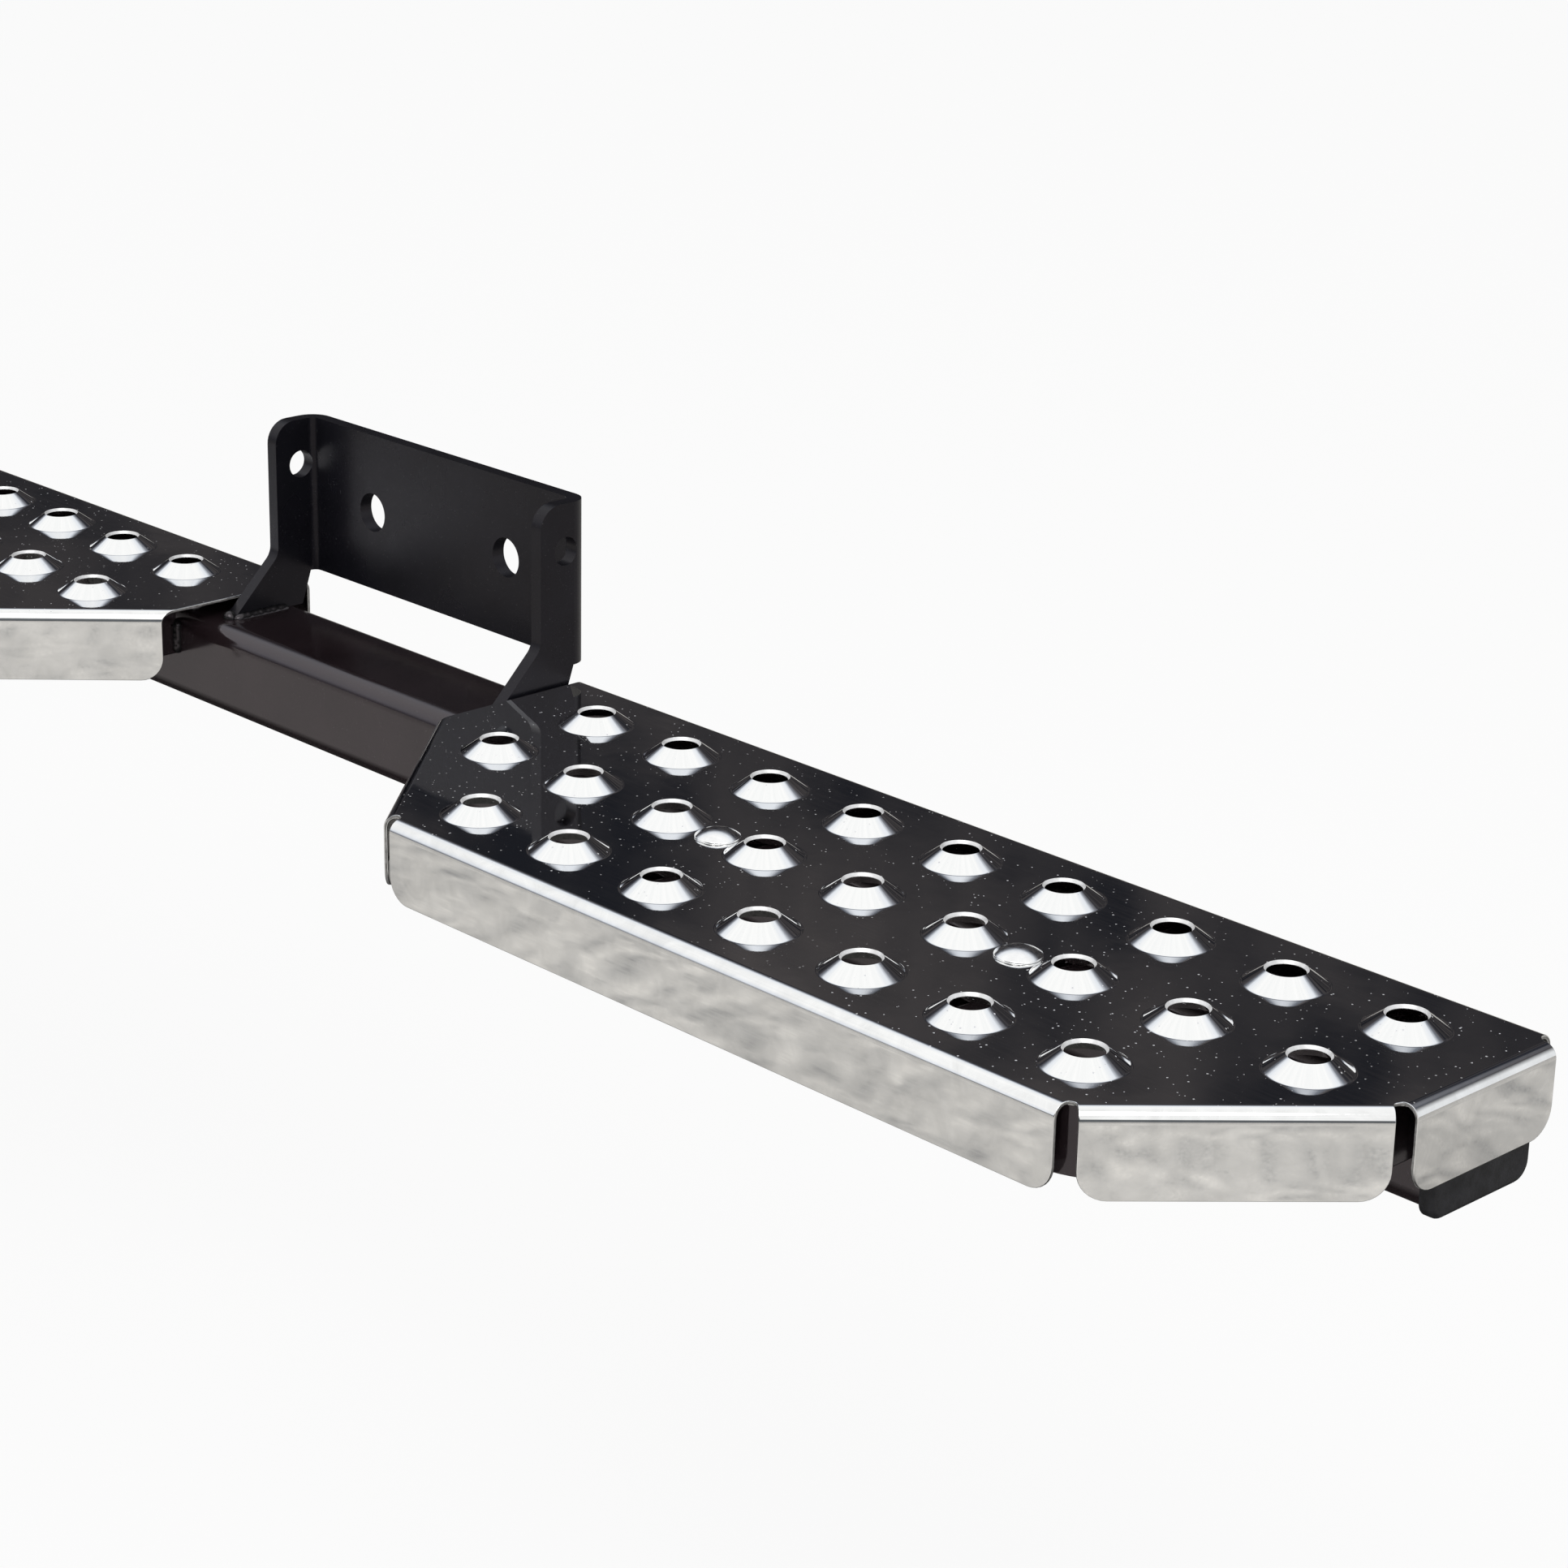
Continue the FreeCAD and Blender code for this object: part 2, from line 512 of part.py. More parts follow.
def near_any(edge, points):
    """Whether an upright edge stands on one of the points, on either side."""
    x, y = abs(ends(edge, "x")[0]), ends(edge, "y")[0]
    return any(math.hypot(x - px, y - py) < NEAR for px, py in points)


for side_name, side in SIDES:
    hoop(f"hoop_{side_name}", side)

# Straps: two to a tread, from the back of the tube to the hoop, under the sheet
STRAP_BACK = f"({TUBE_BACK} - {ROW_Y})"
STRAP_FRONT = f"({HOOP_INSIDE} - Sizes.row_to_front)"


def strap(name, x):
    body = new_body(name)
    outline = new_sketch(body, name + "_outline", "XY_Plane")
    rectangle(outline, "-Sizes.strap_width / 2", "Sizes.strap_width / 2", STRAP_FRONT, STRAP_BACK)
    circle(outline, "0", "0", "Sizes.screw_hole")
    pad(body, name + "_bar", outline, "Sizes.strap_thick", down=True)
    place(body, x=x, y=ROW_Y, z=FRAME_TOP)


def turned_piece(name, corners, x, z):
    """A piece turned round the screw's axis."""
    body = new_body(name)
    section = new_sketch(body, name + "_section", "XZ_Plane")
    polygon(section, corners)
    revolve(body, name + "_turned", section)
    place(body, x=x, y=ROW_Y, z=z)
    return body


DOME_STEPS = (0, 0.35, 0.65, 0.85, 1)       # shares of the head's radius


def screw(name, x):
    """A screw with a lens-shaped head on a low straight edge."""
    shank, head = "Sizes.screw / 2", "Sizes.head_width / 2"
    dome = [(f"{head} * {share}", f"Sizes.head_rim + (Sizes.head_height - Sizes.head_rim) * {1 - share ** 2}")
            for share in DOME_STEPS]
    turned_piece(name, dome + [(head, "0"), (shank, "0"), (shank, "-Sizes.screw_length"),
                               ("0", "-Sizes.screw_length")], x, TREAD_TOP)


def nut(name, x):
    body = new_body(name)
    outline = new_sketch(body, name + "_outline", "XY_Plane")
    across = "(Sizes.nut_width / 2 / cos(30))"
    polygon(outline, [(f"{across} * cos({60 * k})", f"{across} * sin({60 * k})") for k in range(6)])
    circle(outline, "0", "0", "Sizes.nut_hole")
    pad(body, name + "_body", outline, "Sizes.nut_height", down=True)
    place(body, x=x, y=ROW_Y, z=f"{TUBE_TOP} - Sizes.washer_thick")


STATIONS = (("inner", "-"), ("outer", "+"))
for side_name, side in SIDES:
    for station, sign in STATIONS:
        suffix = f"{side_name}_{station}"
        station_x = f"{side} * (Sizes.tread_centre {sign} Sizes.strap_offset)"
        strap(f"strap_{suffix}", station_x)
        screw(f"screw_{suffix}", station_x)
        turned_piece(f"washer_{suffix}", [
            ("Sizes.washer_hole / 2", "0"), ("Sizes.washer_width / 2", "0"),
            ("Sizes.washer_width / 2", "-Sizes.washer_thick"), ("Sizes.washer_hole / 2", "-Sizes.washer_thick")],
            station_x, TUBE_TOP)
        nut(f"nut_{suffix}", station_x)

# Every object has to be sound before anything is written
doc.recompute()
for item in doc.Objects:
    if "Invalid" in item.State or "Error" in item.State:
        raise RuntimeError(f"{item.Label} failed: {item.State}")
bodies = [item for item in doc.Objects if item.TypeId == "PartDesign::Body"]
for body in bodies:
    if body.Shape.isNull() or not body.Shape.isValid() or len(body.Shape.Solids) != 1:
        raise RuntimeError(f"{body.Label} is not one sound solid")
for body in bodies:
    body.Shape.exportStep(f"parts/{body.Label}.step")
    box = body.Shape.BoundBox
    print(f"{body.Label:22s} {body.Shape.Volume / 1000:9.2f} cm3   "
          f"x {box.XMin:8.2f} {box.XMax:8.2f}   y {box.YMin:8.2f} {box.YMax:8.2f}   "
          f"z {box.ZMin:8.2f} {box.ZMax:8.2f}")
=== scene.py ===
# %% [markdown]
# # Hitch step
# Two folded and polished tread sheets sit on a black tube frame with a folded bracket in its middle.
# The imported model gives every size. This lesson dresses it: sharp solids become sheet metal with real
# folds, pressed grip holes, rolled edges, weld beads and finishes that react to light as the real ones do.
# All lengths are written in millimetres and turned into metres where Blender needs them.

# %% Load the frame
import bmesh
import bpy
import math
from mathutils import Matrix, Vector


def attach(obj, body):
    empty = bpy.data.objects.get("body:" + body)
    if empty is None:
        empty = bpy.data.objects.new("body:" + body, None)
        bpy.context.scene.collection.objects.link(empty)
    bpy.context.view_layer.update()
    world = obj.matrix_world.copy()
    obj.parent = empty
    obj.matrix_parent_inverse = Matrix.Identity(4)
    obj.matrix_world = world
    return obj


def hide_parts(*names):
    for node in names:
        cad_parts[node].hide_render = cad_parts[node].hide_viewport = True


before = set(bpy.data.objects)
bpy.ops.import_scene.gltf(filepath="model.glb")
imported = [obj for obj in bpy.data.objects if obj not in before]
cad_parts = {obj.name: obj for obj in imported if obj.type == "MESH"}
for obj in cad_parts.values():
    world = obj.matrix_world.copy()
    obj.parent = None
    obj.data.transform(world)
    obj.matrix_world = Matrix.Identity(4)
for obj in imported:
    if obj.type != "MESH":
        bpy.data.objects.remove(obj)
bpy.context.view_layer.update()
MM = 0.001

# %% [markdown]
# ## The camera
# The camera comes first, so that each piece can be judged from the same place. Its lens and its place were
# solved from the regular grid of grip holes. It looks down at about twenty degrees on the right end, with a
# fairly long lens, so the far tread runs out of the frame on the left.

# %% Place the camera
LENS = 85.6
VIEW_FROM = Vector((1198.5, -957.9, 436.3)) * MM
LOOK = Vector((-0.6767, 0.6546, -0.3370)).normalized()
IMAGE_UP = Vector((-0.2572, 0.2188, 0.9413))

camera_data = bpy.data.cameras.new("camera")
camera_data.sensor_width = 36
camera_data.lens = LENS
camera_data.clip_start = 0.05
camera_data.clip_end = 50
camera = bpy.data.objects.new("camera", camera_data)
bpy.context.scene.collection.objects.link(camera)
right = LOOK.cross(IMAGE_UP).normalized()
upright = right.cross(LOOK)
turn = Matrix((right, upright, -LOOK)).transposed().to_4x4()
camera.matrix_world = Matrix.Translation(VIEW_FROM) @ turn
bpy.context.scene.camera = camera
print("camera at", [round(v, 3) for v in VIEW_FROM])

# %% [markdown]
# ## Helpers for modelling by hand
# Every operator works on what is selected, so each helper first makes its piece the only selected one. Faces,
# edges and corners are then picked by a test on their place or direction, which is the code's way of clicking.

# %% Select and pick
def clear_selection():
    """Leave edit mode and select nothing."""
    if bpy.context.object and bpy.context.object.mode != "OBJECT":
        bpy.ops.object.mode_set(mode="OBJECT")
    bpy.ops.object.select_all(action="DESELECT")


def only(piece):
    """Leave edit mode and make one piece the only selected one."""
    clear_selection()
    piece.select_set(True)
    bpy.context.view_layer.objects.active = piece


def edit(piece):
    """Open a piece in edit mode with nothing selected."""
    only(piece)
    bpy.ops.object.mode_set(mode="EDIT")
    bpy.ops.mesh.select_mode(type="VERT")
    bpy.ops.mesh.select_all(action="DESELECT")


def edit_all(piece):
    """Open a piece in edit mode with all of it selected."""
    edit(piece)
    bpy.ops.mesh.select_all(action="SELECT")


def pick(piece, kind, test):
    """Select the faces, edges or corners that a test picks, and say how many there are."""
    edit(piece)
    bpy.ops.mesh.select_mode(type={"faces": "FACE", "edges": "EDGE", "verts": "VERT"}[kind])
    net = bmesh.from_edit_mesh(piece.data)
    chosen = [item for item in getattr(net, kind) if test(item)]
    for item in chosen:
        item.select_set(True)
    net.select_flush_mode()
    bmesh.update_edit_mesh(piece.data)
    return len(chosen)


def use(piece, kind, settings):
    """Add a modifier with its settings and apply it."""
    only(piece)
    modifier = piece.modifiers.new(kind.lower(), kind)
    for key, value in settings.items():
        setattr(modifier, key, value)
    bpy.ops.object.modifier_apply(modifier=modifier.name)


def thicken(piece, thickness, **more):
    """Give an outside skin its thickness, with Solidify."""
    use(piece, "SOLIDIFY", {"thickness": thickness * MM, "offset": -1, "use_even_offset": True, **more})


def box_piece(name, low, high):
    """A block between two corners."""
    clear_selection()
    centre = [(a + b) / 2 * MM for a, b in zip(low, high)]
    spans = [(b - a) * MM for a, b in zip(low, high)]
    bpy.ops.mesh.primitive_cube_add(size=1, location=centre, scale=spans)
    block = bpy.context.object
    block.name = block.data.name = name
    bpy.ops.object.transform_apply(location=True, rotation=True, scale=True)
    return block


def slice_off(piece, point, normal, clear=True):
    """Cut a whole piece with a plane, and drop what lies on the side of the normal if clear is set."""
    edit_all(piece)
    bpy.ops.mesh.bisect(plane_co=[v * MM for v in point], plane_no=normal,
                        use_fill=clear, clear_outer=clear)
    only(piece)


def drop(piece, kind, test):
    """Delete the faces, edges or corners that a test picks."""
    count = pick(piece, kind, test)
    bpy.ops.mesh.delete(type={"faces": "FACE", "edges": "EDGE", "verts": "VERT"}[kind])
    only(piece)
    return count


def round_off(piece, kind, radius, steps, test):
    """Round the edges or corners that a test picks."""
    count = pick(piece, kind, test)
    bpy.ops.mesh.bevel(offset=radius * MM, offset_type="OFFSET", segments=steps, profile=0.5,
                       affect={"edges": "EDGES", "verts": "VERTICES"}[kind], clamp_overlap=False)
    only(piece)
    return count


def middle(item):
    """Middle of a face or an edge, in millimetres."""
    if isinstance(item, bmesh.types.BMFace):
        return item.calc_center_median() / MM
    return (item.verts[0].co + item.verts[1].co) / 2 / MM


def runs(edge, axis):
    """Whether an edge runs along one axis."""
    span = edge.verts[1].co - edge.verts[0].co
    return abs(span["xyz".index(axis)]) > 0.999 * span.length


SMOOTH_BELOW = math.radians(35)
ROUND_ABOVE = math.radians(40)
FLAT_WITHIN = math.radians(0.5)
SAME_PLACE = 0.01


def finish_form(piece, edge_round=0, steps=2):
    """Round the cut edges a little, turn the faces outward, and shade folds smooth and flats flat."""
    if edge_round:
        use(piece, "BEVEL", {"width": edge_round * MM, "segments": steps, "limit_method": "ANGLE",
                             "angle_limit": ROUND_ABOVE, "use_clamp_overlap": True})
    edit_all(piece)
    bpy.ops.mesh.remove_doubles(threshold=0.005 * MM)
    bpy.ops.mesh.normals_make_consistent(inside=False)
    only(piece)
    bpy.ops.object.shade_smooth_by_angle(angle=SMOOTH_BELOW)
    use(piece, "WEIGHTED_NORMAL", {"keep_sharp": True, "weight": 100})
    return piece


def copy_of(piece, name, move=(0, 0, 0), mirror=False):
    """A copy with its own mesh, moved or mirrored across the middle of the step."""
    only(piece)
    bpy.ops.object.duplicate(linked=False)
    copy = bpy.context.object
    copy.name = copy.data.name = name
    if mirror:
        copy.scale = (-1, 1, 1)
    copy.location = [v * MM for v in move]
    bpy.ops.object.transform_apply(location=True, rotation=True, scale=True)
    return copy


def joined(name, parts):
    """Several pieces made one."""
    only(parts[0])
    for part in parts:
        part.select_set(True)
    bpy.ops.object.join()
    parts[0].name = parts[0].data.name = name
    return parts[0]


def turned(name, centre, rings, segments, closed=True):
    """A round piece drawn up ring by ring: each ring is a radius and a height above the centre."""
    clear_selection()
    x, y, z = centre
    radius, height = rings[0]
    bpy.ops.mesh.primitive_circle_add(vertices=segments, radius=radius * MM,
                                      fill_type="NGON" if closed else "NOTHING",
                                      location=(x * MM, y * MM, (z + height) * MM))
    piece = bpy.context.object
    piece.name = piece.data.name = name
    bpy.ops.object.transform_apply(location=True, rotation=True, scale=True)
    bpy.ops.object.mode_set(mode="EDIT")
    bpy.ops.mesh.select_mode(type="FACE" if closed else "EDGE")
    bpy.ops.mesh.select_all(action="SELECT")
    for next_radius, next_height in rings[1:]:
        lift = {"value": (0, 0, (next_height - height) * MM)}
        if closed:
            bpy.ops.mesh.extrude_region_move(TRANSFORM_OT_translate=lift)
        else:
            bpy.ops.mesh.extrude_edges_move(TRANSFORM_OT_translate=lift)
        ratio = next_radius / radius
        bpy.ops.transform.resize(value=(ratio, ratio, 1),
                                 center_override=(x * MM, y * MM, (z + next_height) * MM))
        radius, height = next_radius, next_height
    only(piece)
    return piece


print("helpers ready")

# %% [markdown]
# ## The tread sheet
# The real tread is one stainless sheet: cut flat, pierced, pressed and folded down along five edges. The
# folds don't meet, so a narrow gap is left at each corner. It is drawn here as the outside skin of a block: two
# corners are sliced off, the underside and the inner end are deleted, and the top edges are bevelled into
# folds. The skin then gets the thickness of the sheet with Solidify, which keeps the thickness even round a
# fold. A block with a boolean for the hollow would work too, but leaves long thin faces that spoil a mirror.

# %% Sizes of the tread
TREAD_X, TREAD_Y, TREAD_TOP = 340, -88, -41.5
SHEET = 1.5
UNDER_TOP = TREAD_TOP - SHEET
FLANGE_HEIGHT = 31
FLANGE_LOW = TREAD_TOP - FLANGE_HEIGHT
FOLD, LOWER_ROUND = 5, 10
INNER, OUTER = -246, 241
FRONT, BACK = -81, 84
HALF_FRONT = 170
CORNER_RUN, CORNER_RISE = 71, 80
SLANT = math.atan2(CORNER_RISE, CORNER_RUN)
GAP, GAP_DEPTH, GAP_ROUND = 8, 6, 1
ARRIS, SLIVER = 0.4, 0.08


def heading(angle):
    """Direction along an outline, and the inward direction on its left."""
    return Vector((math.cos(angle), math.sin(angle), 0)), Vector((-math.sin(angle), math.cos(angle), 0))


def at_tread(x, y, z=0):
    """A point given from the middle hole of the tread, in the frame of the whole part."""
    return Vector((TREAD_X + x, TREAD_Y + y, z))


def away(spot, x, y):
    """Distance in plan from a place on the tread, in millimetres."""
    return math.hypot(spot.x - TREAD_X - x, spot.y - TREAD_Y - y)


# %% Fold the skin of the tread
def to_be_folded(edge):
    """Whether an edge of the block lies in its top, but not at the inner end."""
    in_top = all(abs(vert.co.z / MM - TREAD_TOP) < SAME_PLACE for vert in edge.verts)
    return in_top and abs(middle(edge).x - TREAD_X - INNER) > SAME_PLACE


polished = bpy.data.materials.new("polished_stainless")
sheared_painted_shade = bpy.data.materials.new("sheared_stainless_painted_shade")
drawn_ring_painted_highlight = bpy.data.materials.new("drawn_edge_painted_highlight")
tread = box_piece("tread_right_sheet", at_tread(INNER, FRONT, FLANGE_LOW), at_tread(OUTER, BACK, TREAD_TOP))
for sign in (1, -1):
    slice_off(tread, at_tread(sign * HALF_FRONT, FRONT), (sign * math.sin(SLANT), -math.cos(SLANT), 0))
drop(tread, "faces", lambda face: face.normal.z < -0.9 or face.normal.x < -0.9)
folds = round_off(tread, "edges", FOLD, 8, to_be_folded)
tread.data.materials.append(polished)
tread.data.materials.append(sheared_painted_shade)
print("folds:", folds, "faces:", len(tread.data.polygons))

# %% [markdown]
# ### Gaps at the corners
# Each corner is opened by two cuts square to the flanges and one across, just past the folds. Only the faces
# of that flange are selected for a cut, so no line runs on round the rest of the sheet. The lower corners of
# the flanges are then rounded as on the real sheet, and every cut edge is broken a little, as deburring
# does: without that, a cut edge would never catch the light. Solidify gives the cut faces a material slot
# of their own.

# %% Open the corners
def open_corner(corner, first, second, half_gap):
    """Cut one gap between the flanges along two headings that meet at a corner."""
    along_1, inward_1 = heading(first)
    along_2, inward_2 = heading(second)
    wall_1, wall_2 = corner - along_1 * half_gap, corner + along_2 * half_gap
    inner_1, inner_2 = wall_1 + inward_1 * GAP_DEPTH, wall_2 + inward_2 * GAP_DEPTH
    across = (inner_2 - inner_1).cross(Vector((0, 0, 1))).normalized()
    for wall, along, inward in ((wall_1, along_1, inward_1), (wall_2, along_2, inward_2)):
        pick(tread, "faces", lambda face: abs(face.normal.dot(along)) < 0.02
             and (face.normal.dot(inward) < -0.02 or face.normal.z > 0.99))
        bpy.ops.mesh.bisect(plane_co=wall * MM, plane_no=along)
        only(tread)
    pick(tread, "faces", lambda face: face.normal.z > 0.99)
    bpy.ops.mesh.bisect(plane_co=inner_1 * MM, plane_no=across)
    only(tread)

    def inside(face):
        spot = middle(face)
        spot.z = 0
        between = (spot - wall_1).dot(along_1) > SAME_PLACE and (spot - wall_2).dot(along_2) < -SAME_PLACE
        return between and (spot - inner_1).dot(across) > SAME_PLACE and (spot - corner).length < 3 * GAP

    removed = drop(tread, "faces", inside)
    low = [Vector((wall.x, wall.y, FLANGE_LOW)) for wall in (wall_1, wall_2)]
    high = [Vector((inner.x, inner.y, TREAD_TOP)) for inner in (inner_1, inner_2)]
    return removed, low, high


def narrow(turn):
    """Half the gap along a flange, for flanges that meet at a turn."""
    return GAP / 2 / math.cos(turn / 2)


inner_front = FRONT + (-INNER - HALF_FRONT) * math.tan(SLANT)
lower_corners = [at_tread(INNER, y, FLANGE_LOW) for y in (BACK, inner_front)]
gap_corners = []
for corner, first, second, half_gap in (
        (at_tread(-HALF_FRONT, FRONT), -SLANT, 0, narrow(SLANT)),
        (at_tread(HALF_FRONT, FRONT), 0, SLANT, narrow(SLANT)),
        (at_tread(OUTER, FRONT + CORNER_RISE), SLANT, math.pi / 2, narrow(math.pi / 2 - SLANT)),
        (at_tread(OUTER, BACK), math.pi / 2, math.pi, GAP)):
    removed, low, high = open_corner(corner, first, second, half_gap)
    lower_corners += low
    gap_corners += high
    print("gap faces removed:", removed)


def near(vert, spots):
    """Whether a corner of the mesh lies on one of the given points."""
    return any((vert.co / MM - spot).length < 0.05 for spot in spots)


edit_all(tread)
bpy.ops.mesh.dissolve_limited(angle_limit=FLAT_WITHIN)
print("lower corners:", round_off(tread, "verts", LOWER_ROUND, 8, lambda vert: near(vert, lower_corners)),
      "gap corners:", round_off(tread, "verts", GAP_ROUND, 3, lambda vert: near(vert, gap_corners)))
edit_all(tread)
bpy.ops.mesh.remove_doubles(threshold=SLIVER * MM)
# The sheared rims take the darker cut finish, a painted shade.
thicken(tread, SHEET, material_offset_rim=1)
use(tread, "BEVEL", {"width": ARRIS * MM, "segments": 2, "limit_method": "ANGLE",
                     "angle_limit": math.radians(60), "use_clamp_overlap": False, "material": 0})
shortest = min((tread.data.vertices[a].co - tread.data.vertices[b].co).length
               for a, b in (line.vertices for line in tread.data.edges)) / MM
print("shortest edge:", round(shortest, 3))
print("sheet faces:", len(tread.data.polygons))

# %% [markdown]
# ### Pressed grip holes
# A punch pierces each hole and draws it up into a cone. The cut face stays square to the sheet while it is
# drawn, so it leans inward and shows as a bright ring; its pale colour adds a painted highlight. One cone is
# drawn ring by ring: a tight round at its foot, a straight wall, the leaning cut face, and the underside. The
# sheet gets a matching round opening, and both share the same ring of points, so the joint can't be seen. A
# corner that the cut left between two of those points is slid onto the nearer one.

# %% Draw one cone
CONE_BASE, CONE_RIM, HOLE, CONE_HEIGHT = 15.0, 7.65, 6.8, 5.3
CONE_SLOPE = math.atan2(CONE_HEIGHT, CONE_BASE - CONE_RIM)
CUT_FACE = (CONE_RIM - HOLE) / math.sin(CONE_SLOPE)
FOOT_ROUND = 1.8
BROKEN_EDGE, BURR = 0.16, 0.1
RING_POINTS, ON_POINT = 64, 0.003
HOLE_PITCH = 50
HOLE_ROWS = ((1, 4), (0, 4), (-1, 3))


def cone_rings():
    """Radius and height of each ring, from the sheet over the rim to the underside."""
    start = CONE_BASE + FOOT_ROUND * math.tan(CONE_SLOPE / 2)
    bend = [CONE_SLOPE * k / 4 for k in range(5)]
    rings = [(start - FOOT_ROUND * math.sin(angle), FOOT_ROUND * (1 - math.cos(angle))) for angle in bend]
    along, rise = math.cos(CONE_SLOPE), math.sin(CONE_SLOPE)
    low_edge = CONE_HEIGHT - CUT_FACE * along
    rings += [(CONE_RIM + BROKEN_EDGE * along, CONE_HEIGHT - BROKEN_EDGE * rise),
              (CONE_RIM - BROKEN_EDGE * rise * 0.15, CONE_HEIGHT - BROKEN_EDGE * 0.3),
              (CONE_RIM - BROKEN_EDGE * rise, CONE_HEIGHT - BROKEN_EDGE * along),
              (HOLE + BROKEN_EDGE * rise, low_edge + BROKEN_EDGE * along), (HOLE, low_edge),
              (HOLE + BURR, low_edge - 2 * BURR)]
    under = FOOT_ROUND + SHEET
    rings += [(start - under * math.sin(angle), FOOT_ROUND - under * math.cos(angle)) for angle in bend[::-2]]
    return rings


def on_cut_ring(face):
    """Whether a face of the cone is part of the leaning cut ring."""
    spot = middle(face)
    in_ring = HOLE - 0.05 < away(spot, 0, 0) < CONE_RIM - 0.02
    return in_ring and spot.z > TREAD_TOP + CONE_HEIGHT - CUT_FACE


cone = turned("grip_cone", (TREAD_X, TREAD_Y, TREAD_TOP), cone_rings(), RING_POINTS, closed=False)
for finish in (polished, sheared_painted_shade, drawn_ring_painted_highlight):
    cone.data.materials.append(finish)
print("cut ring faces:", pick(cone, "faces", on_cut_ring))
# The leaning cut ring takes the pale cut finish, a painted highlight.
cone.active_material_index = 2
bpy.ops.object.material_slot_assign()
only(cone)
hole_places = [(HOLE_PITCH * k, HOLE_PITCH * row) for row, reach in HOLE_ROWS for k in range(-reach, reach + 1)]
print("rings:", len(cone_rings()), "holes:", len(hole_places))

# %% Pierce the sheet and set the cones in
SCREW_OFFSET, SCREW_HOLE = 75, 4.5
SCREWS = (-SCREW_OFFSET, SCREW_OFFSET)
open_radius = cone_rings()[0][0]


def punch(name, centre, radius, half_length, axis="Z"):
    """A round cutter through a piece."""
    clear_selection()
    tilt = {"Z": (0, 0, 0), "X": (0, math.pi / 2, 0), "Y": (math.pi / 2, 0, 0)}[axis]
    bpy.ops.mesh.primitive_cylinder_add(vertices=RING_POINTS, radius=radius * MM, depth=2 * half_length * MM,
                                        location=[v * MM for v in centre], rotation=tilt)
    cutter = bpy.context.object
    cutter.name = name
    bpy.ops.object.transform_apply(location=True, rotation=True, scale=True)
    return cutter


def pierce(piece, cutters):
    """Cut all the cutters out of a piece, then throw them away."""
    tool = joined("cutters", cutters)
    use(piece, "BOOLEAN", {"operation": "DIFFERENCE", "object": tool, "solver": "EXACT"})
    bpy.data.objects.remove(tool)


pierce(tread, [punch("cutter", at_tread(x, y, TREAD_TOP), open_radius, 10) for x, y in hole_places]
       + [punch("cutter", at_tread(x, 0, TREAD_TOP), SCREW_HOLE, 10) for x in SCREWS])


def on_hole_wall(face):
    """Whether a face is the wall of one of the round openings."""
    spot = middle(face)
    at_hole = any(away(spot, x, y) < open_radius + 0.1 for x, y in hole_places)
    at_screw = any(away(spot, x, 0) < SCREW_HOLE + 1.5 for x in SCREWS)
    return abs(face.normal.z) < 0.1 and at_hole and not at_screw


def is_level(face):
    """Whether a face lies flat in the top or the underside of the sheet."""
    return abs(face.normal.z) > 0.9999


def way_to_ring(place):
    """For a corner between two points of an opening's ring, the way to the nearer one. Otherwise None."""
    step = 2 * math.pi / RING_POINTS
    for x, y in hole_places:
        across, up = place.x / MM - TREAD_X - x, place.y / MM - TREAD_Y - y
        if abs(math.hypot(across, up) - open_radius) < 0.1:
            angle = round(math.atan2(up, across) / step) * step
            way = Vector((open_radius * math.cos(angle) - across, open_radius * math.sin(angle) - up, 0)) * MM
            return way if way.length > ON_POINT * MM else None
    return None


print("wall faces removed:", drop(tread, "faces", on_hole_wall))
pick(tread, "faces", is_level)
bpy.ops.mesh.quads_convert_to_tris()
only(tread)
strays = [vert.co.copy() for vert in tread.data.vertices if way_to_ring(vert.co)]
for place in strays:
    pick(tread, "verts", lambda vert: (vert.co - place).length < 1e-7)
    bpy.ops.transform.translate(value=way_to_ring(place))
pick(tread, "faces", is_level)
bpy.ops.mesh.remove_doubles(threshold=ON_POINT * MM)
bpy.ops.mesh.dissolve_limited(angle_limit=FLAT_WITHIN)
only(tread)
print("stray corners slid to the ring:", len(strays))
cones = [cone] + [copy_of(cone, "grip_cone", (x, y, 0)) for x, y in hole_places if (x, y) != (0, 0)]
tread = joined("tread_right_sheet", [tread] + cones)
tread_left = copy_of(tread, "tread_left_sheet", mirror=True)
for sheet in (tread, tread_left):
    finish_form(sheet)
    edit(sheet)
    bpy.ops.mesh.select_non_manifold(extend=False)
    print(sheet.name, "open edges:", sum(edge.select for edge in bmesh.from_edit_mesh(sheet.data).edges))
    only(sheet)
    print("triangles:", sum(len(face.vertices) - 2 for face in sheet.data.polygons))
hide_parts("tread_right")
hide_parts("tread_left")

# %% [markdown]
# ## The tube and its caps
# The main tube is a rectangular section with round corners. A block without its end faces, its long edges
# bevelled and its wall given by Solidify, is the plainest way to a hollow section. The plastic caps are
# blocks rounded twice, with the hollow plug inset and extruded from the back, as they are moulded.

# %% Main tube
TUBE_END, TUBE_FRONT, TUBE_BACK = 570, -64, -14
TUBE_LOW, TUBE_TOP = -89, -49
TUBE_ROUND, TUBE_WALL = 8, 3
tube = box_piece("tube_section", (-TUBE_END, TUBE_FRONT, TUBE_LOW), (TUBE_END, TUBE_BACK, TUBE_TOP))
drop(tube, "faces", lambda face: abs(face.normal.x) > 0.9)
print("long edges:", round_off(tube, "edges", TUBE_ROUND, 10, lambda edge: runs(edge, "x")))
thicken(tube, TUBE_WALL)
finish_form(tube)
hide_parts("main_tube")

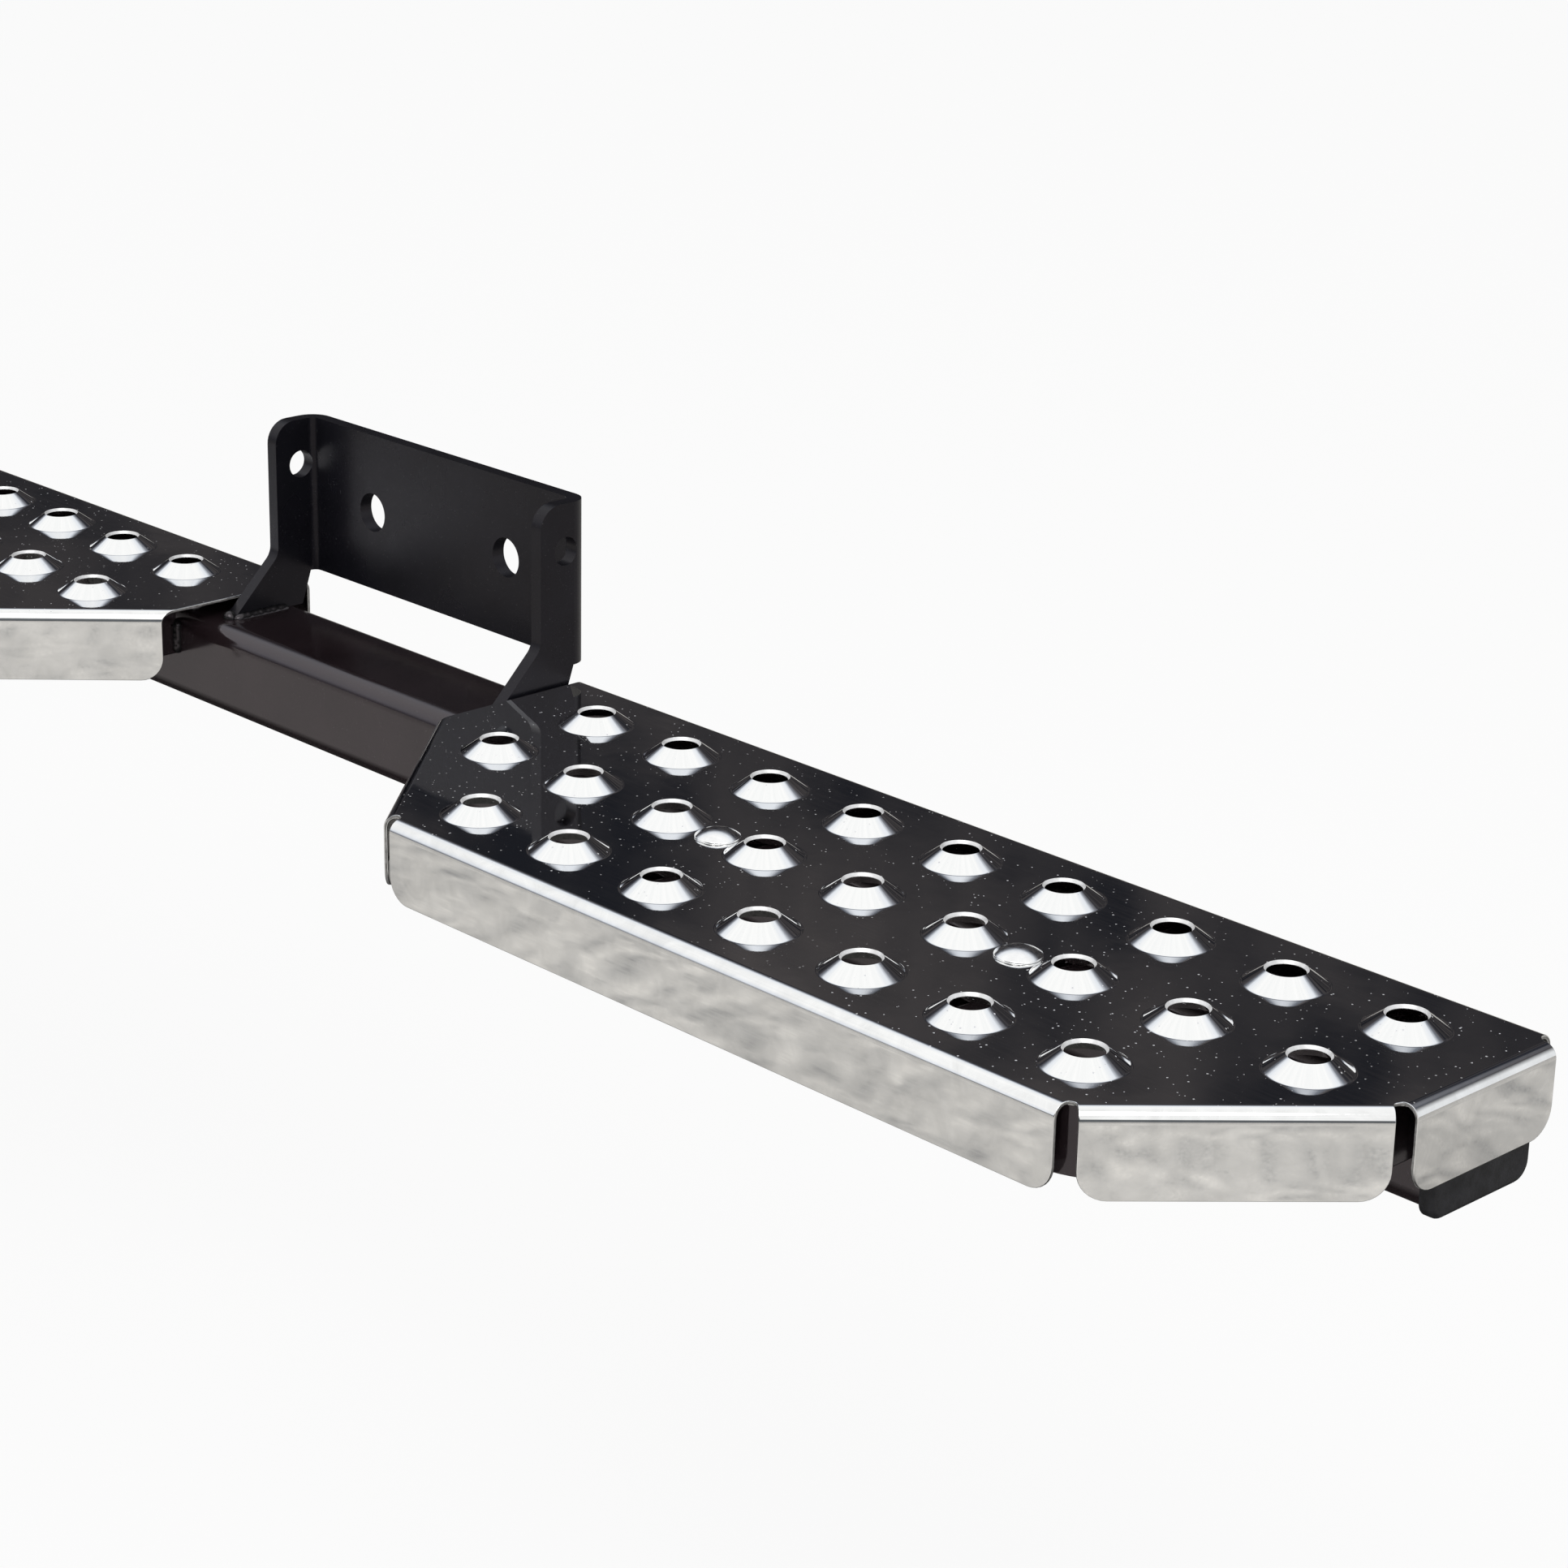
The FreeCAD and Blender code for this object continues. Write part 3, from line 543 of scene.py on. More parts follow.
# %% End caps
CAP_HEAD, CAP_LIP, CAP_ROUND, CAP_EDGE = 5, 1.5, 7, 2
CAP_FIT, PLUG_WALL, PLUG_LENGTH, PLUG_DEPTH = 0.2, 3, 16, 14
CAP_FACE = TUBE_END + CAP_HEAD
cap = box_piece("cap_right_moulding", (TUBE_END, TUBE_FRONT - CAP_LIP, TUBE_LOW - CAP_LIP),
                (CAP_FACE, TUBE_BACK + CAP_LIP, TUBE_TOP + CAP_LIP))
round_off(cap, "edges", CAP_ROUND, 8, lambda edge: runs(edge, "x"))
pick(cap, "faces", lambda face: face.normal.x < -0.9)
for inset, push in ((CAP_LIP + TUBE_WALL + CAP_FIT, -PLUG_LENGTH), (PLUG_WALL, PLUG_DEPTH)):
    bpy.ops.mesh.inset(thickness=inset * MM, depth=0)
    bpy.ops.mesh.extrude_region_move(TRANSFORM_OT_translate={"value": (push * MM, 0, 0)})
only(cap)
rim = round_off(cap, "edges", CAP_EDGE, 5,
                lambda edge: all(abs(vert.co.x / MM - CAP_FACE) < SAME_PLACE for vert in edge.verts))
print("face rim:", rim)
cap_left = copy_of(cap, "cap_left_moulding", mirror=True)
for moulding, node in ((cap, "end_cap_right"), (cap_left, "end_cap_left")):
    finish_form(moulding)
    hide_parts(node)

# %% [markdown]
# ## The folded bracket
# The bracket is one plate folded to a U. As with the tread, its outside skin is drawn first: a block that
# keeps its back and its two sides. The side view is cut with planes, the two folds are bevels, and Solidify
# gives the plate. Bolt holes and the eyes in the cheeks are punched afterwards.

# %% Fold the bracket
PLATE, PLATE_FOLD = 6, 9
HALF_WIDTH, HALF_BACK = 92, 34.5
CHEEK_FRONT, CHEEK_STEP, FOOT_FRONT = -26.5, -24.5, -51
FOOT_RUN, FOOT_RISE = 5, -HALF_BACK - TUBE_TOP
BOLT_OFFSET, BOLT_HOLE = 45, 8.5
EYE_Y, EYE_Z, EYE = -13.25, 14.5, 6
bracket = box_piece("bracket_plate", (-HALF_WIDTH, FOOT_FRONT, TUBE_TOP), (HALF_WIDTH, 0, HALF_BACK))
drop(bracket, "faces", lambda face: abs(face.normal.z) > 0.9 or face.normal.y < -0.9)
round_off(bracket, "edges", PLATE_FOLD, 8, lambda edge: runs(edge, "z") and abs(middle(edge).y) < SAME_PLACE)
for point, normal in (((0, 0, -HALF_BACK), (0, 0, 1)), ((0, CHEEK_FRONT, 0), (0, 1, 0)),
                      ((0, CHEEK_FRONT, CHEEK_STEP), (0, -1, 1)),
                      ((0, TUBE_BACK, TUBE_TOP), (0, FOOT_RISE, -FOOT_RUN))):
    slice_off(bracket, point, Vector(normal).normalized(), clear=False)


def outside_profile(face):
    """Whether a face lies outside the side view of the bracket."""
    spot = middle(face)
    before_front = spot.y < CHEEK_FRONT and spot.z - spot.y > CHEEK_STEP - CHEEK_FRONT
    behind_foot = spot.z < -HALF_BACK and spot.y - TUBE_BACK > (spot.z - TUBE_TOP) * FOOT_RUN / FOOT_RISE
    return before_front or behind_foot


drop(bracket, "faces", outside_profile)
edit_all(bracket)
bpy.ops.mesh.dissolve_limited(angle_limit=FLAT_WITHIN)
for level, radius, steps in ((HALF_BACK, 10, 10), (CHEEK_STEP, 3, 4)):
    corners = [Vector((x, CHEEK_FRONT, level)) for x in (-HALF_WIDTH, HALF_WIDTH)]
    print("cheek corners:", round_off(bracket, "verts", radius, steps, lambda vert: near(vert, corners)))
thicken(bracket, PLATE)
pierce(bracket, [punch("cutter", (sign * BOLT_OFFSET, -PLATE / 2, 0), BOLT_HOLE, 10, "Y") for sign in (-1, 1)]
       + [punch("cutter", (sign * (HALF_WIDTH - PLATE / 2), EYE_Y, EYE_Z), EYE, 8, "X") for sign in (-1, 1)])
finish_form(bracket, edge_round=0.7)
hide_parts("mounting_bracket")
print("bracket faces:", len(bracket.data.polygons))

# %% [markdown]
# ## The under-frame of each tread
# A flat bar on edge follows the flanges inside and ends square on the tube. It is drawn like a fence: a
# block whose front corners are sliced off keeps only its upright sides, the corners are bent with bevels and
# Solidify gives the bar. Two cross straps lie under the sheet, from the tube to the bar.

# %% Hoops
HOOP_HEIGHT, HOOP_THICK, HOOP_BEND = 25, 5, 14
HOOP_INSET, HOOP_REACH = 5, 229
HOOP_FRONT = FRONT + HOOP_INSET
hoop_half = HALF_FRONT - HOOP_INSET * math.tan(SLANT / 2)
hoop = box_piece("hoop_right_bar", at_tread(-HOOP_REACH, HOOP_FRONT, UNDER_TOP - HOOP_HEIGHT),
                 (TREAD_X + HOOP_REACH, TUBE_FRONT, UNDER_TOP))
for sign in (1, -1):
    slice_off(hoop, at_tread(sign * hoop_half, HOOP_FRONT), (sign * math.sin(SLANT), -math.cos(SLANT), 0))
drop(hoop, "faces", lambda face: abs(face.normal.z) > 0.9 or face.normal.y > 0.9)
print("bends:", round_off(hoop, "edges", HOOP_BEND, 8,
                          lambda edge: runs(edge, "z") and middle(edge).y < TUBE_FRONT - 0.1))
thicken(hoop, HOOP_THICK)
hoop_left = copy_of(hoop, "hoop_left_bar", mirror=True)
for bar, node in ((hoop, "hoop_right"), (hoop_left, "hoop_left")):
    finish_form(bar, edge_round=0.8)
    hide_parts(node)

# %% Straps
STRAP_HALF = 15
STRAP_END = TREAD_Y + HOOP_FRONT + HOOP_THICK - 0.9
stations = [(side, end, sign * (TREAD_X + offset)) for side, sign in (("left", -1), ("right", 1))
            for end, offset in (("inner", -SCREW_OFFSET), ("outer", SCREW_OFFSET))]
straps = []
for side, end, x in stations:
    strap = box_piece(f"strap_{side}_{end}_bar", (x - STRAP_HALF, STRAP_END, TUBE_TOP),
                      (x + STRAP_HALF, TUBE_BACK, UNDER_TOP - 0.02))
    pierce(strap, [punch("cutter", (x, TREAD_Y, -46), SCREW_HOLE, 6)])
    finish_form(strap, edge_round=0.8)
    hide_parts(f"strap_{side}_{end}")
    straps.append(strap)
print("straps:", len(straps))

# %% [markdown]
# ## Screws, washers and nuts
# The domed heads show on top of the tread. They are turned ring by ring, with the thread as plain grooves:
# from any distance a groove and a helix look the same, and grooves close without a seam. The nut is a
# six-sided block trimmed by a chamfered disc, which leaves the curved bright corners of a real nut.

# %% Screws
HEAD, HEAD_HIGH, HEAD_RIM = 8.55, 3.6, 0.8
SHANK, GROOVE, THREAD_PITCH, THREADS = 3.95, 3.45, 1.25, 12
screw_rings = [(3.0, -20), (3.6, -19.4)]
for k in range(THREADS):
    level = -19.2 + k * THREAD_PITCH
    screw_rings += [(GROOVE, level), (SHANK, level + 0.5), (SHANK, level + 0.7), (GROOVE, level + 1.2)]
screw_rings += [(SHANK, -4.1), (SHANK, 0.02), (HEAD - 0.2, 0.02), (HEAD - 0.05, 0.1), (HEAD, 0.25),
                (HEAD, HEAD_RIM - 0.15), (HEAD - 0.06, HEAD_RIM), (HEAD - 0.2, HEAD_RIM + 0.1)]
DOME_ROUND = (HEAD ** 2 + (HEAD_HIGH - HEAD_RIM) ** 2) / (2 * (HEAD_HIGH - HEAD_RIM))
for step in range(1, 11):
    reach = (HEAD - 0.2) * (1 - step / 10.2)
    screw_rings.append((reach, HEAD_HIGH - DOME_ROUND + math.sqrt(DOME_ROUND ** 2 - reach ** 2)))
screw_master = turned("screw_master", (0, TREAD_Y, TREAD_TOP), screw_rings, 48)
finish_form(screw_master)
print("screw rings:", len(screw_rings))

# %% Washers and nuts
WASHER, NUT, NUT_CORNER = 1.6, 6.5, 7.5055
NUT_TOP = TUBE_TOP - WASHER
washer_rings = [(4.2, -WASHER), (8.3, -WASHER), (8.5, 0.2 - WASHER), (8.5, -0.2), (8.3, 0), (4.2, 0),
                (4.2, -WASHER)]
washer_master = turned("washer_master", (0, TREAD_Y, TUBE_TOP), washer_rings, 48, closed=False)
finish_form(washer_master)
nut_master = turned("nut_master", (0, TREAD_Y, NUT_TOP), [(NUT_CORNER, -NUT), (NUT_CORNER, 0)], 6)
edit_all(nut_master)
bpy.ops.transform.rotate(value=math.radians(30), orient_axis="Z", center_override=(0, TREAD_Y * MM, 0))
only(nut_master)
trim_rings = [(6.3, -NUT - 0.01), (7.6, 0.8 - NUT), (7.6, -0.8), (6.3, 0.01)]
trim = turned("nut_trim", (0, TREAD_Y, NUT_TOP), trim_rings, 48)
use(nut_master, "BOOLEAN", {"operation": "INTERSECT", "object": trim, "solver": "EXACT"})
bpy.data.objects.remove(trim)
pierce(nut_master, [punch("cutter", (0, TREAD_Y, -53), 4.05, 10)])
finish_form(nut_master)
fasteners = []
for side, end, x in stations:
    for kind, master in (("screw", screw_master), ("washer", washer_master), ("nut", nut_master)):
        piece = copy_of(master, f"{kind}_{side}_{end}_bright", (x, 0, 0))
        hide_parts(f"{kind}_{side}_{end}")
        fasteners.append(piece)
for master in (screw_master, washer_master, nut_master):
    bpy.data.objects.remove(master)
print("fasteners:", len(fasteners))

# %% [markdown]
# ## Weld beads
# The frame is welded before it is coated, so the beads are black like the rest and show only by their
# ripples and by a bright glint at their ends. One bead is turned as a row of swelling rings, laid down along
# its joint and copied. A bead lies half in the corner, as weld metal does.

# %% Lay the beads
CHEEK_BEAD, FOOT_BEAD, HOOP_BEAD, STRAP_BEAD = 2.4, 2.8, 2.3, 2.2
CHEEK_JOINT = (-51.5, -22.5)
FOOT_JOINT = (HALF_WIDTH - 6.5, HALF_WIDTH + 0.5)
HOOP_JOINT = (UNDER_TOP - HOOP_HEIGHT + 0.5, -52.5)
STRAP_JOINT, STRAP_END_JOINT = (-56, -24), (-13, 13)
PROUD, JUST_PROUD = 0.6, 0.4


def bead(name, start, end, radius, seed):
    """One rippled bead between two points."""
    start, end = Vector(start), Vector(end)
    length = (end - start).length
    count = max(4, round(length / (radius * 0.55)))
    rings = [(radius * 0.35, 0)]
    for k in range(1, count):
        swell = 1 + 0.10 * math.sin(k * 2.4 + seed) + 0.06 * math.sin(k * 5.1 + seed)
        taper = min(1, 0.55 + 0.45 * min(k, count - k) / 2)
        rings.append((radius * swell * taper, length * k / count))
    rings.append((radius * 0.35, length))
    piece = turned(name, (0, 0, 0), rings, 12)
    piece.rotation_mode = "QUATERNION"
    piece.rotation_quaternion = (end - start).to_track_quat("Z", "Y")
    piece.location = start * MM
    bpy.ops.object.transform_apply(location=True, rotation=True, scale=True)
    return piece


beads = []
for sign in (-1, 1):
    for k, x in enumerate((HALF_WIDTH + PROUD, HALF_WIDTH - PLATE - PROUD)):
        beads.append(bead("bead", *[(sign * x, y, TUBE_TOP - 0.2) for y in CHEEK_JOINT], CHEEK_BEAD, k))
    beads.append(bead("bead", *[(sign * x, -51.6, TUBE_TOP + 0.3) for x in FOOT_JOINT], FOOT_BEAD, 3))
    for k, reach in enumerate((HOOP_REACH + PROUD, HOOP_REACH - HOOP_THICK - PROUD,
                               -HOOP_REACH - PROUD, -HOOP_REACH + HOOP_THICK + PROUD)):
        x = sign * (TREAD_X + reach)
        beads.append(bead("bead", *[(x, TUBE_FRONT - JUST_PROUD, z) for z in HOOP_JOINT], HOOP_BEAD, k))
for side, end, x in stations:
    for k, shift in enumerate((-STRAP_HALF - JUST_PROUD, STRAP_HALF + JUST_PROUD)):
        beads.append(bead("bead", *[(x + shift, y, TUBE_TOP - 0.3) for y in STRAP_JOINT], STRAP_BEAD, k))
    ends = [(x + shift, STRAP_END + 1.1, TUBE_TOP - JUST_PROUD) for shift in STRAP_END_JOINT]
    beads.append(bead("bead", *ends, STRAP_BEAD, 5))
welds = joined("weld_beads", beads)
only(welds)
bpy.ops.object.shade_smooth()
print("beads:", len(beads), "faces:", len(welds.data.polygons))

# %% [markdown]
# ## Finishes
# Each finish is a small tree of nodes on Object coordinates, so its grain keeps its real size in millimetres
# and stays with the metal from every side. One number that holds all over is typed on the shader itself.

# %% Node helpers
def new_finish(name):
    """A material with a Principled shader, and its node tree."""
    finish = bpy.data.materials.get(name) or bpy.data.materials.new(name)
    finish.use_nodes = True
    tree = finish.node_tree
    return finish, tree, tree.nodes["Principled BSDF"]


def node(tree, kind, **settings):
    """A node with plain settings, and with values for the inputs given by name."""
    made = tree.nodes.new(kind)
    for key, value in settings.items():
        if key in made.inputs:
            made.inputs[key].default_value = value
        else:
            setattr(made, key, value)
    return made


def object_place(tree, scale=(1, 1, 1), shift=(0, 0, 0)):
    """Object coordinates, stretched by a scale and then shifted."""
    place = node(tree, "ShaderNodeTexCoord")
    mapping = node(tree, "ShaderNodeMapping", Scale=scale, Location=shift)
    tree.links.new(place.outputs["Object"], mapping.inputs["Vector"])
    return mapping.outputs["Vector"]


def noise(tree, place, scale, detail=2.0, roughness=0.5, distortion=0.0):
    """Noise of a given scale per metre."""
    made = node(tree, "ShaderNodeTexNoise", Scale=scale, Detail=detail, Roughness=roughness,
                Distortion=distortion)
    tree.links.new(place, made.inputs["Vector"])
    return made.outputs["Fac"]


def ramp(tree, value, stops):
    """A value sent through a ramp of (place, grey or colour) stops."""
    made = node(tree, "ShaderNodeValToRGB")
    points = made.color_ramp.elements
    while len(points) < len(stops):
        points.new(0.5)
    for point, (place, colour) in zip(points, stops):
        point.position = place
        point.color = (colour, colour, colour, 1) if isinstance(colour, (int, float)) else (*colour, 1)
    tree.links.new(value, made.inputs["Fac"])
    return made.outputs["Color"]


def bumps(tree, shader, layers):
    """Stack bumps, each a height with its depth in millimetres, on the shader's normal."""
    last = None
    for height, depth in layers:
        made = node(tree, "ShaderNodeBump", Strength=1.0, Distance=depth * MM)
        tree.links.new(height, made.inputs["Height"])
        if last is not None:
            tree.links.new(last, made.inputs["Normal"])
        last = made.outputs["Normal"]
    tree.links.new(last, shader.inputs["Normal"])


def mix(tree, factor, first, second, how="MIX"):
    """Two colours blended, added or multiplied, each an output or a plain colour."""
    made = node(tree, "ShaderNodeMix", data_type="RGBA", blend_type=how)
    for name, value in (("Factor", factor), ("A", first), ("B", second)):
        if isinstance(value, bpy.types.NodeSocket):
            tree.links.new(value, made.inputs[name])
        else:
            made.inputs[name].default_value = value if name == "Factor" else (*value, 1)
    return made.outputs["Result"]


def spread(tree, value, low, high, least=0.0, most=1.0):
    """A value between two levels, spread between two others."""
    made = node(tree, "ShaderNodeMapRange",
                **{"From Min": low, "From Max": high, "To Min": least, "To Max": most})
    tree.links.new(value, made.inputs["Value"])
    return made.outputs["Result"]


print("node helpers ready")

# %% [markdown]
# ### Mirror-polished stainless
# A mirror shows its surroundings, so its own colour matters less than how flat it is. Wide, faint waves bend
# the reflections, as rolled sheet does, and the finest of them only show where a reflection is very oblique.
# Dust lies on the top as pale specks of two sizes. They are picked from the cells of Voronoi patterns and are
# dull, so they break the mirror. The flanges get a faint mottle painted into their colour, which echoes the
# mottled reflection of the stone floor. The cut faces share one dull finish in two tones: darker on the
# sheared walls between their bright arrises, a painted shade, and pale on the ring drawn up by the punch, a
# painted highlight.

# %% Polished sheet
STEEL = (0.93, 0.93, 0.925)
DUST = (0.60, 0.61, 0.64)


def reckon(tree, operation, first, second):
    """Two values, each an output or a plain number, put through one step of arithmetic."""
    made = node(tree, "ShaderNodeMath", operation=operation)
    for socket, value in zip(made.inputs, (first, second)):
        if isinstance(value, bpy.types.NodeSocket):
            tree.links.new(value, socket)
        else:
            socket.default_value = value
    return made.outputs["Value"]


def dust(tree, place, scale, least, largest):
    """Round specks in the cells of a pattern whose chance is over the least, none above the largest."""
    cells = node(tree, "ShaderNodeTexVoronoi", Scale=scale, Randomness=1.0)
    tree.links.new(place, cells.inputs["Vector"])
    chance = node(tree, "ShaderNodeSeparateColor")
    tree.links.new(cells.outputs["Color"], chance.inputs["Color"])
    size = spread(tree, chance.outputs["Red"], least, 1.0, 0.0, largest)
    return reckon(tree, "LESS_THAN", cells.outputs["Distance"], size)


def polished_sheet(name):
    """Stainless sheet, polished and a little dusty."""
    finish, tree, shader = new_finish(name)
    links = tree.links
    place = object_place(tree)
    parts = node(tree, "ShaderNodeSeparateXYZ")
    links.new(place, parts.inputs["Vector"])
    on_top = spread(tree, parts.outputs["Z"], (TREAD_TOP - 1) * MM, TREAD_TOP * MM)
    fine, coarse = dust(tree, place, 620, 0.76, 0.25), dust(tree, place, 190, 0.93, 0.09)
    specks = reckon(tree, "MAXIMUM", fine, coarse)
    patch = ramp(tree, noise(tree, place, 9, 3), ((0.36, 0.15), (0.62, 1.0)))
    dusty = reckon(tree, "MULTIPLY", reckon(tree, "MULTIPLY", specks, on_top), patch)
    # A faint mottle painted into the colour of the flanges echoes the mottled reflection of the stone floor.
    painted_flange_mottle = ramp(tree, noise(tree, place, 70, 6, 0.62, 1.4), ((0.34, 0.88), (0.66, 1.0)))
    metal = mix(tree, on_top, mix(tree, 1.0, painted_flange_mottle, STEEL, "MULTIPLY"), STEEL)
    links.new(mix(tree, dusty, metal, DUST), shader.inputs["Base Color"])
    links.new(reckon(tree, "SUBTRACT", 1.0, dusty), shader.inputs["Metallic"])
    hair = noise(tree, object_place(tree, (60, 900, 900)), 1.0, 2)
    links.new(ramp(tree, hair, ((0.3, 0.03), (0.7, 0.06))), shader.inputs["Roughness"])
    waves = noise(tree, object_place(tree, (1, 1, 3)), 11, 1)
    bumps(tree, shader, ((waves, 0.28), (noise(tree, place, 45, 2), 0.03)))
    return finish


def cut_sheet(name, dark, pale):
    """A cut face of the sheet: dull, with fine marks across the thickness, in a painted tone: dark as shade,
    pale as highlight.
    """
    finish, tree, shader = new_finish(name)
    place = object_place(tree)
    shader.inputs["Metallic"].default_value = 0.35
    tint = ramp(tree, noise(tree, place, 500, 3), ((0.3, dark), (0.7, pale)))
    tree.links.new(tint, shader.inputs["Base Color"])
    dull = ramp(tree, noise(tree, place, 220, 3), ((0.3, 0.30), (0.7, 0.48)))
    tree.links.new(dull, shader.inputs["Roughness"])
    bumps(tree, shader, ((noise(tree, object_place(tree, (2200, 2200, 260)), 1.0, 2), 0.02),))
    return finish


polished = polished_sheet("polished_stainless")
# Two tones of one cut finish: darker as painted shade on the sheared walls, pale as painted highlight on the
# punched ring.
sheared_painted_shade = cut_sheet("sheared_stainless_painted_shade", (0.15, 0.145, 0.14), (0.34, 0.335, 0.33))
drawn_ring_painted_highlight = cut_sheet("drawn_edge_painted_highlight", (0.74, 0.74, 0.74), (0.90, 0.90, 0.91))

# %% [markdown]
# ### Black coats, plastic and fasteners
# Powder coat is a thin plastic skin: black, glossy, with the slight orange peel that it keeps from melting.
# The bracket's coat is duller. The caps have the fine grain of their mould. The screws are bright turned
# steel.

# %% Black coats
def black_coat(name, colour, roughness, peel, gleam):
    """Powder coat with orange peel and a little dust in its gloss."""
    finish, tree, shader = new_finish(name)
    place = object_place(tree)
    dull = ramp(tree, noise(tree, place, 24, 4), ((0.3, roughness * 0.75), (0.7, roughness * 1.35)))
    tree.links.new(dull, shader.inputs["Roughness"])
    shade = ramp(tree, noise(tree, place, 40, 3),
                 [(stop, [share * level for share in colour]) for stop, level in ((0.3, 0.8), (0.7, 1.25))])
    fleck = ramp(tree, noise(tree, place, 1400, 2), ((0.70, 0.0), (0.74, 0.25)))
    shader.inputs["Specular IOR Level"].default_value = gleam
    # The warm tint on the coat's reflections is painted: it stands for the brownish surroundings that the gloss
    # reflects.
    shader.inputs["Specular Tint"].default_value = (1.0, 0.91, 0.97, 1)
    tree.links.new(mix(tree, fleck, shade, (0.16, 0.16, 0.165)), shader.inputs["Base Color"])
    bumps(tree, shader, ((noise(tree, place, 420, 2), peel), (noise(tree, place, 30, 2), peel * 2)))
    return finish


gloss_coat = black_coat("gloss_black_coat", (0.0120, 0.0078, 0.0090), 0.13, 0.012, 0.8)
dark_coat = black_coat("satin_black_coat", (0.0058, 0.0058, 0.0082), 0.27, 0.018, 0.25)
weld_coat = black_coat("coated_weld", (0.0075, 0.0075, 0.008), 0.17, 0.05, 0.6)
print("coats:", [coat.name for coat in (gloss_coat, dark_coat, weld_coat)])

# %% Plastic and bright steel
def grained_plastic(name):
    """Fine-grained matte black plastic."""
    finish, tree, shader = new_finish(name)
    place = object_place(tree)
    tint = ramp(tree, noise(tree, place, 260, 3), ((0.35, (0.010, 0.010, 0.012)), (0.7, (0.020, 0.020, 0.024))))
    tree.links.new(tint, shader.inputs["Base Color"])
    dull = ramp(tree, noise(tree, place, 30, 3), ((0.3, 0.50), (0.7, 0.66)))
    tree.links.new(dull, shader.inputs["Roughness"])
    shader.inputs["Specular IOR Level"].default_value = 0.35
    bumps(tree, shader, ((noise(tree, place, 1100, 2), 0.09),))
    return finish


def bright_steel(name):
    """Turned and polished fastener steel, with fine rings left by the tool."""
    finish, tree, shader = new_finish(name)
    place = object_place(tree)
    shader.inputs["Metallic"].default_value = 1.0
    tint = ramp(tree, noise(tree, place, 300, 3), ((0.3, 0.88), (0.7, 0.97)))
    tree.links.new(tint, shader.inputs["Base Color"])
    dull = ramp(tree, noise(tree, place, 500, 3), ((0.3, 0.10), (0.7, 0.20)))
    tree.links.new(dull, shader.inputs["Roughness"])
    bumps(tree, shader, ((noise(tree, object_place(tree, (200, 200, 2500)), 1.0, 1), 0.01),))
    return finish


grained = grained_plastic("grained_black_plastic")
bright = bright_steel("bright_fastener_steel")
print("other finishes:", [finish.name for finish in (polished, sheared_painted_shade, drawn_ring_painted_highlight, grained, bright)])

# %% Dress the pieces
def dress(piece, finish):
    """Give a piece its finish if it has none, and let it ride on the part."""
    if not piece.data.materials:
        piece.data.materials.append(finish)
    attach(piece, "root")


dressed = [(sheet, polished, "polished_steel") for sheet in (tread, tread_left)]
dressed += [(piece, gloss_coat, "black_coat") for piece in (tube, hoop, hoop_left)]
dressed += [(bracket, dark_coat, "dark_coat")]
dressed += [(moulding, grained, "black_plastic") for moulding in (cap, cap_left)]
dressed += [(welds, weld_coat, "black_coat")]
dressed += [(strap, gloss_coat, "black_coat") for strap in straps]
dressed += [(piece, bright, "bright_fastener") for piece in fasteners]
for piece, finish, slot in dressed:
    dress(piece, finish)
by_kind = {"tread": polished, "screw": bright, "washer": bright, "nut": bright, "end": grained,
           "mounting": dark_coat}
for name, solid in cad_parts.items():
    solid.data.materials.clear()
    solid.data.materials.append(by_kind.get(name.split("_")[0], gloss_coat))
print("pieces dressed:", len(dressed))

# %% [markdown]
# ## Floor and light
# The step hangs above a plain pale floor, at about the height it has in use. A polished sheet is only as
# good as what it reflects. Outdoors the open side lies in front of the step and a large dark wall stands
# behind it, so a level mirror seen from the front is black, while its folds and cones catch the sky. The
# world is white to the camera and an even pale grey for diffuse light; only reflections see the dark side.
# Reflections of the floor get the fine mottling of stone, which is what the upright flanges show, and the
# shade that lies under the step, which is what shows inside the pressed holes. A pale wall beyond the right
# end lights the lower half of the outer fold. A low hedge in front keeps the top dark in views from behind
# too.

# %% Floor
FLOOR_Z = -0.42
CAMERA_GLOW = 0.86
clear_selection()
bpy.ops.mesh.primitive_plane_add(size=40, location=(0, 0, FLOOR_Z))
floor = bpy.context.object
floor.name = "floor"
floor_paint = bpy.data.materials.new("floor_paint")
floor_paint.use_nodes = True
paint_tree = floor_paint.node_tree
paint = paint_tree.nodes["Principled BSDF"]
paint.inputs["Roughness"].default_value = 0.9
paint.inputs["Specular IOR Level"].default_value = 0.1
path = node(paint_tree, "ShaderNodeLightPath")
floor_place = object_place(paint_tree)
stones = ramp(paint_tree, noise(paint_tree, floor_place, 42, 8, 0.70),
              ((0.34, (0.30, 0.30, 0.30)), (0.48, (0.60, 0.585, 0.56)), (0.64, (0.88, 0.85, 0.80))))
drift = ramp(paint_tree, noise(paint_tree, floor_place, 3.5, 3), ((0.3, 0.82), (0.7, 1.0)))
ground = mix(paint_tree, 1.0, stones, drift, "MULTIPLY")
reach = node(paint_tree, "ShaderNodeVectorMath", operation="LENGTH")
paint_tree.links.new(object_place(paint_tree, (1.0, 1.9, 0), (0, -0.3, 0)), reach.inputs[0])
shade = spread(paint_tree, reach.outputs["Value"], 0.75, 1.45, 0.06, 1.0)
ground = mix(paint_tree, 1.0, ground, shade, "MULTIPLY")
paint_tree.links.new(mix(paint_tree, path.outputs["Is Glossy Ray"], (0.84, 0.84, 0.835), ground),
                     paint.inputs["Base Color"])
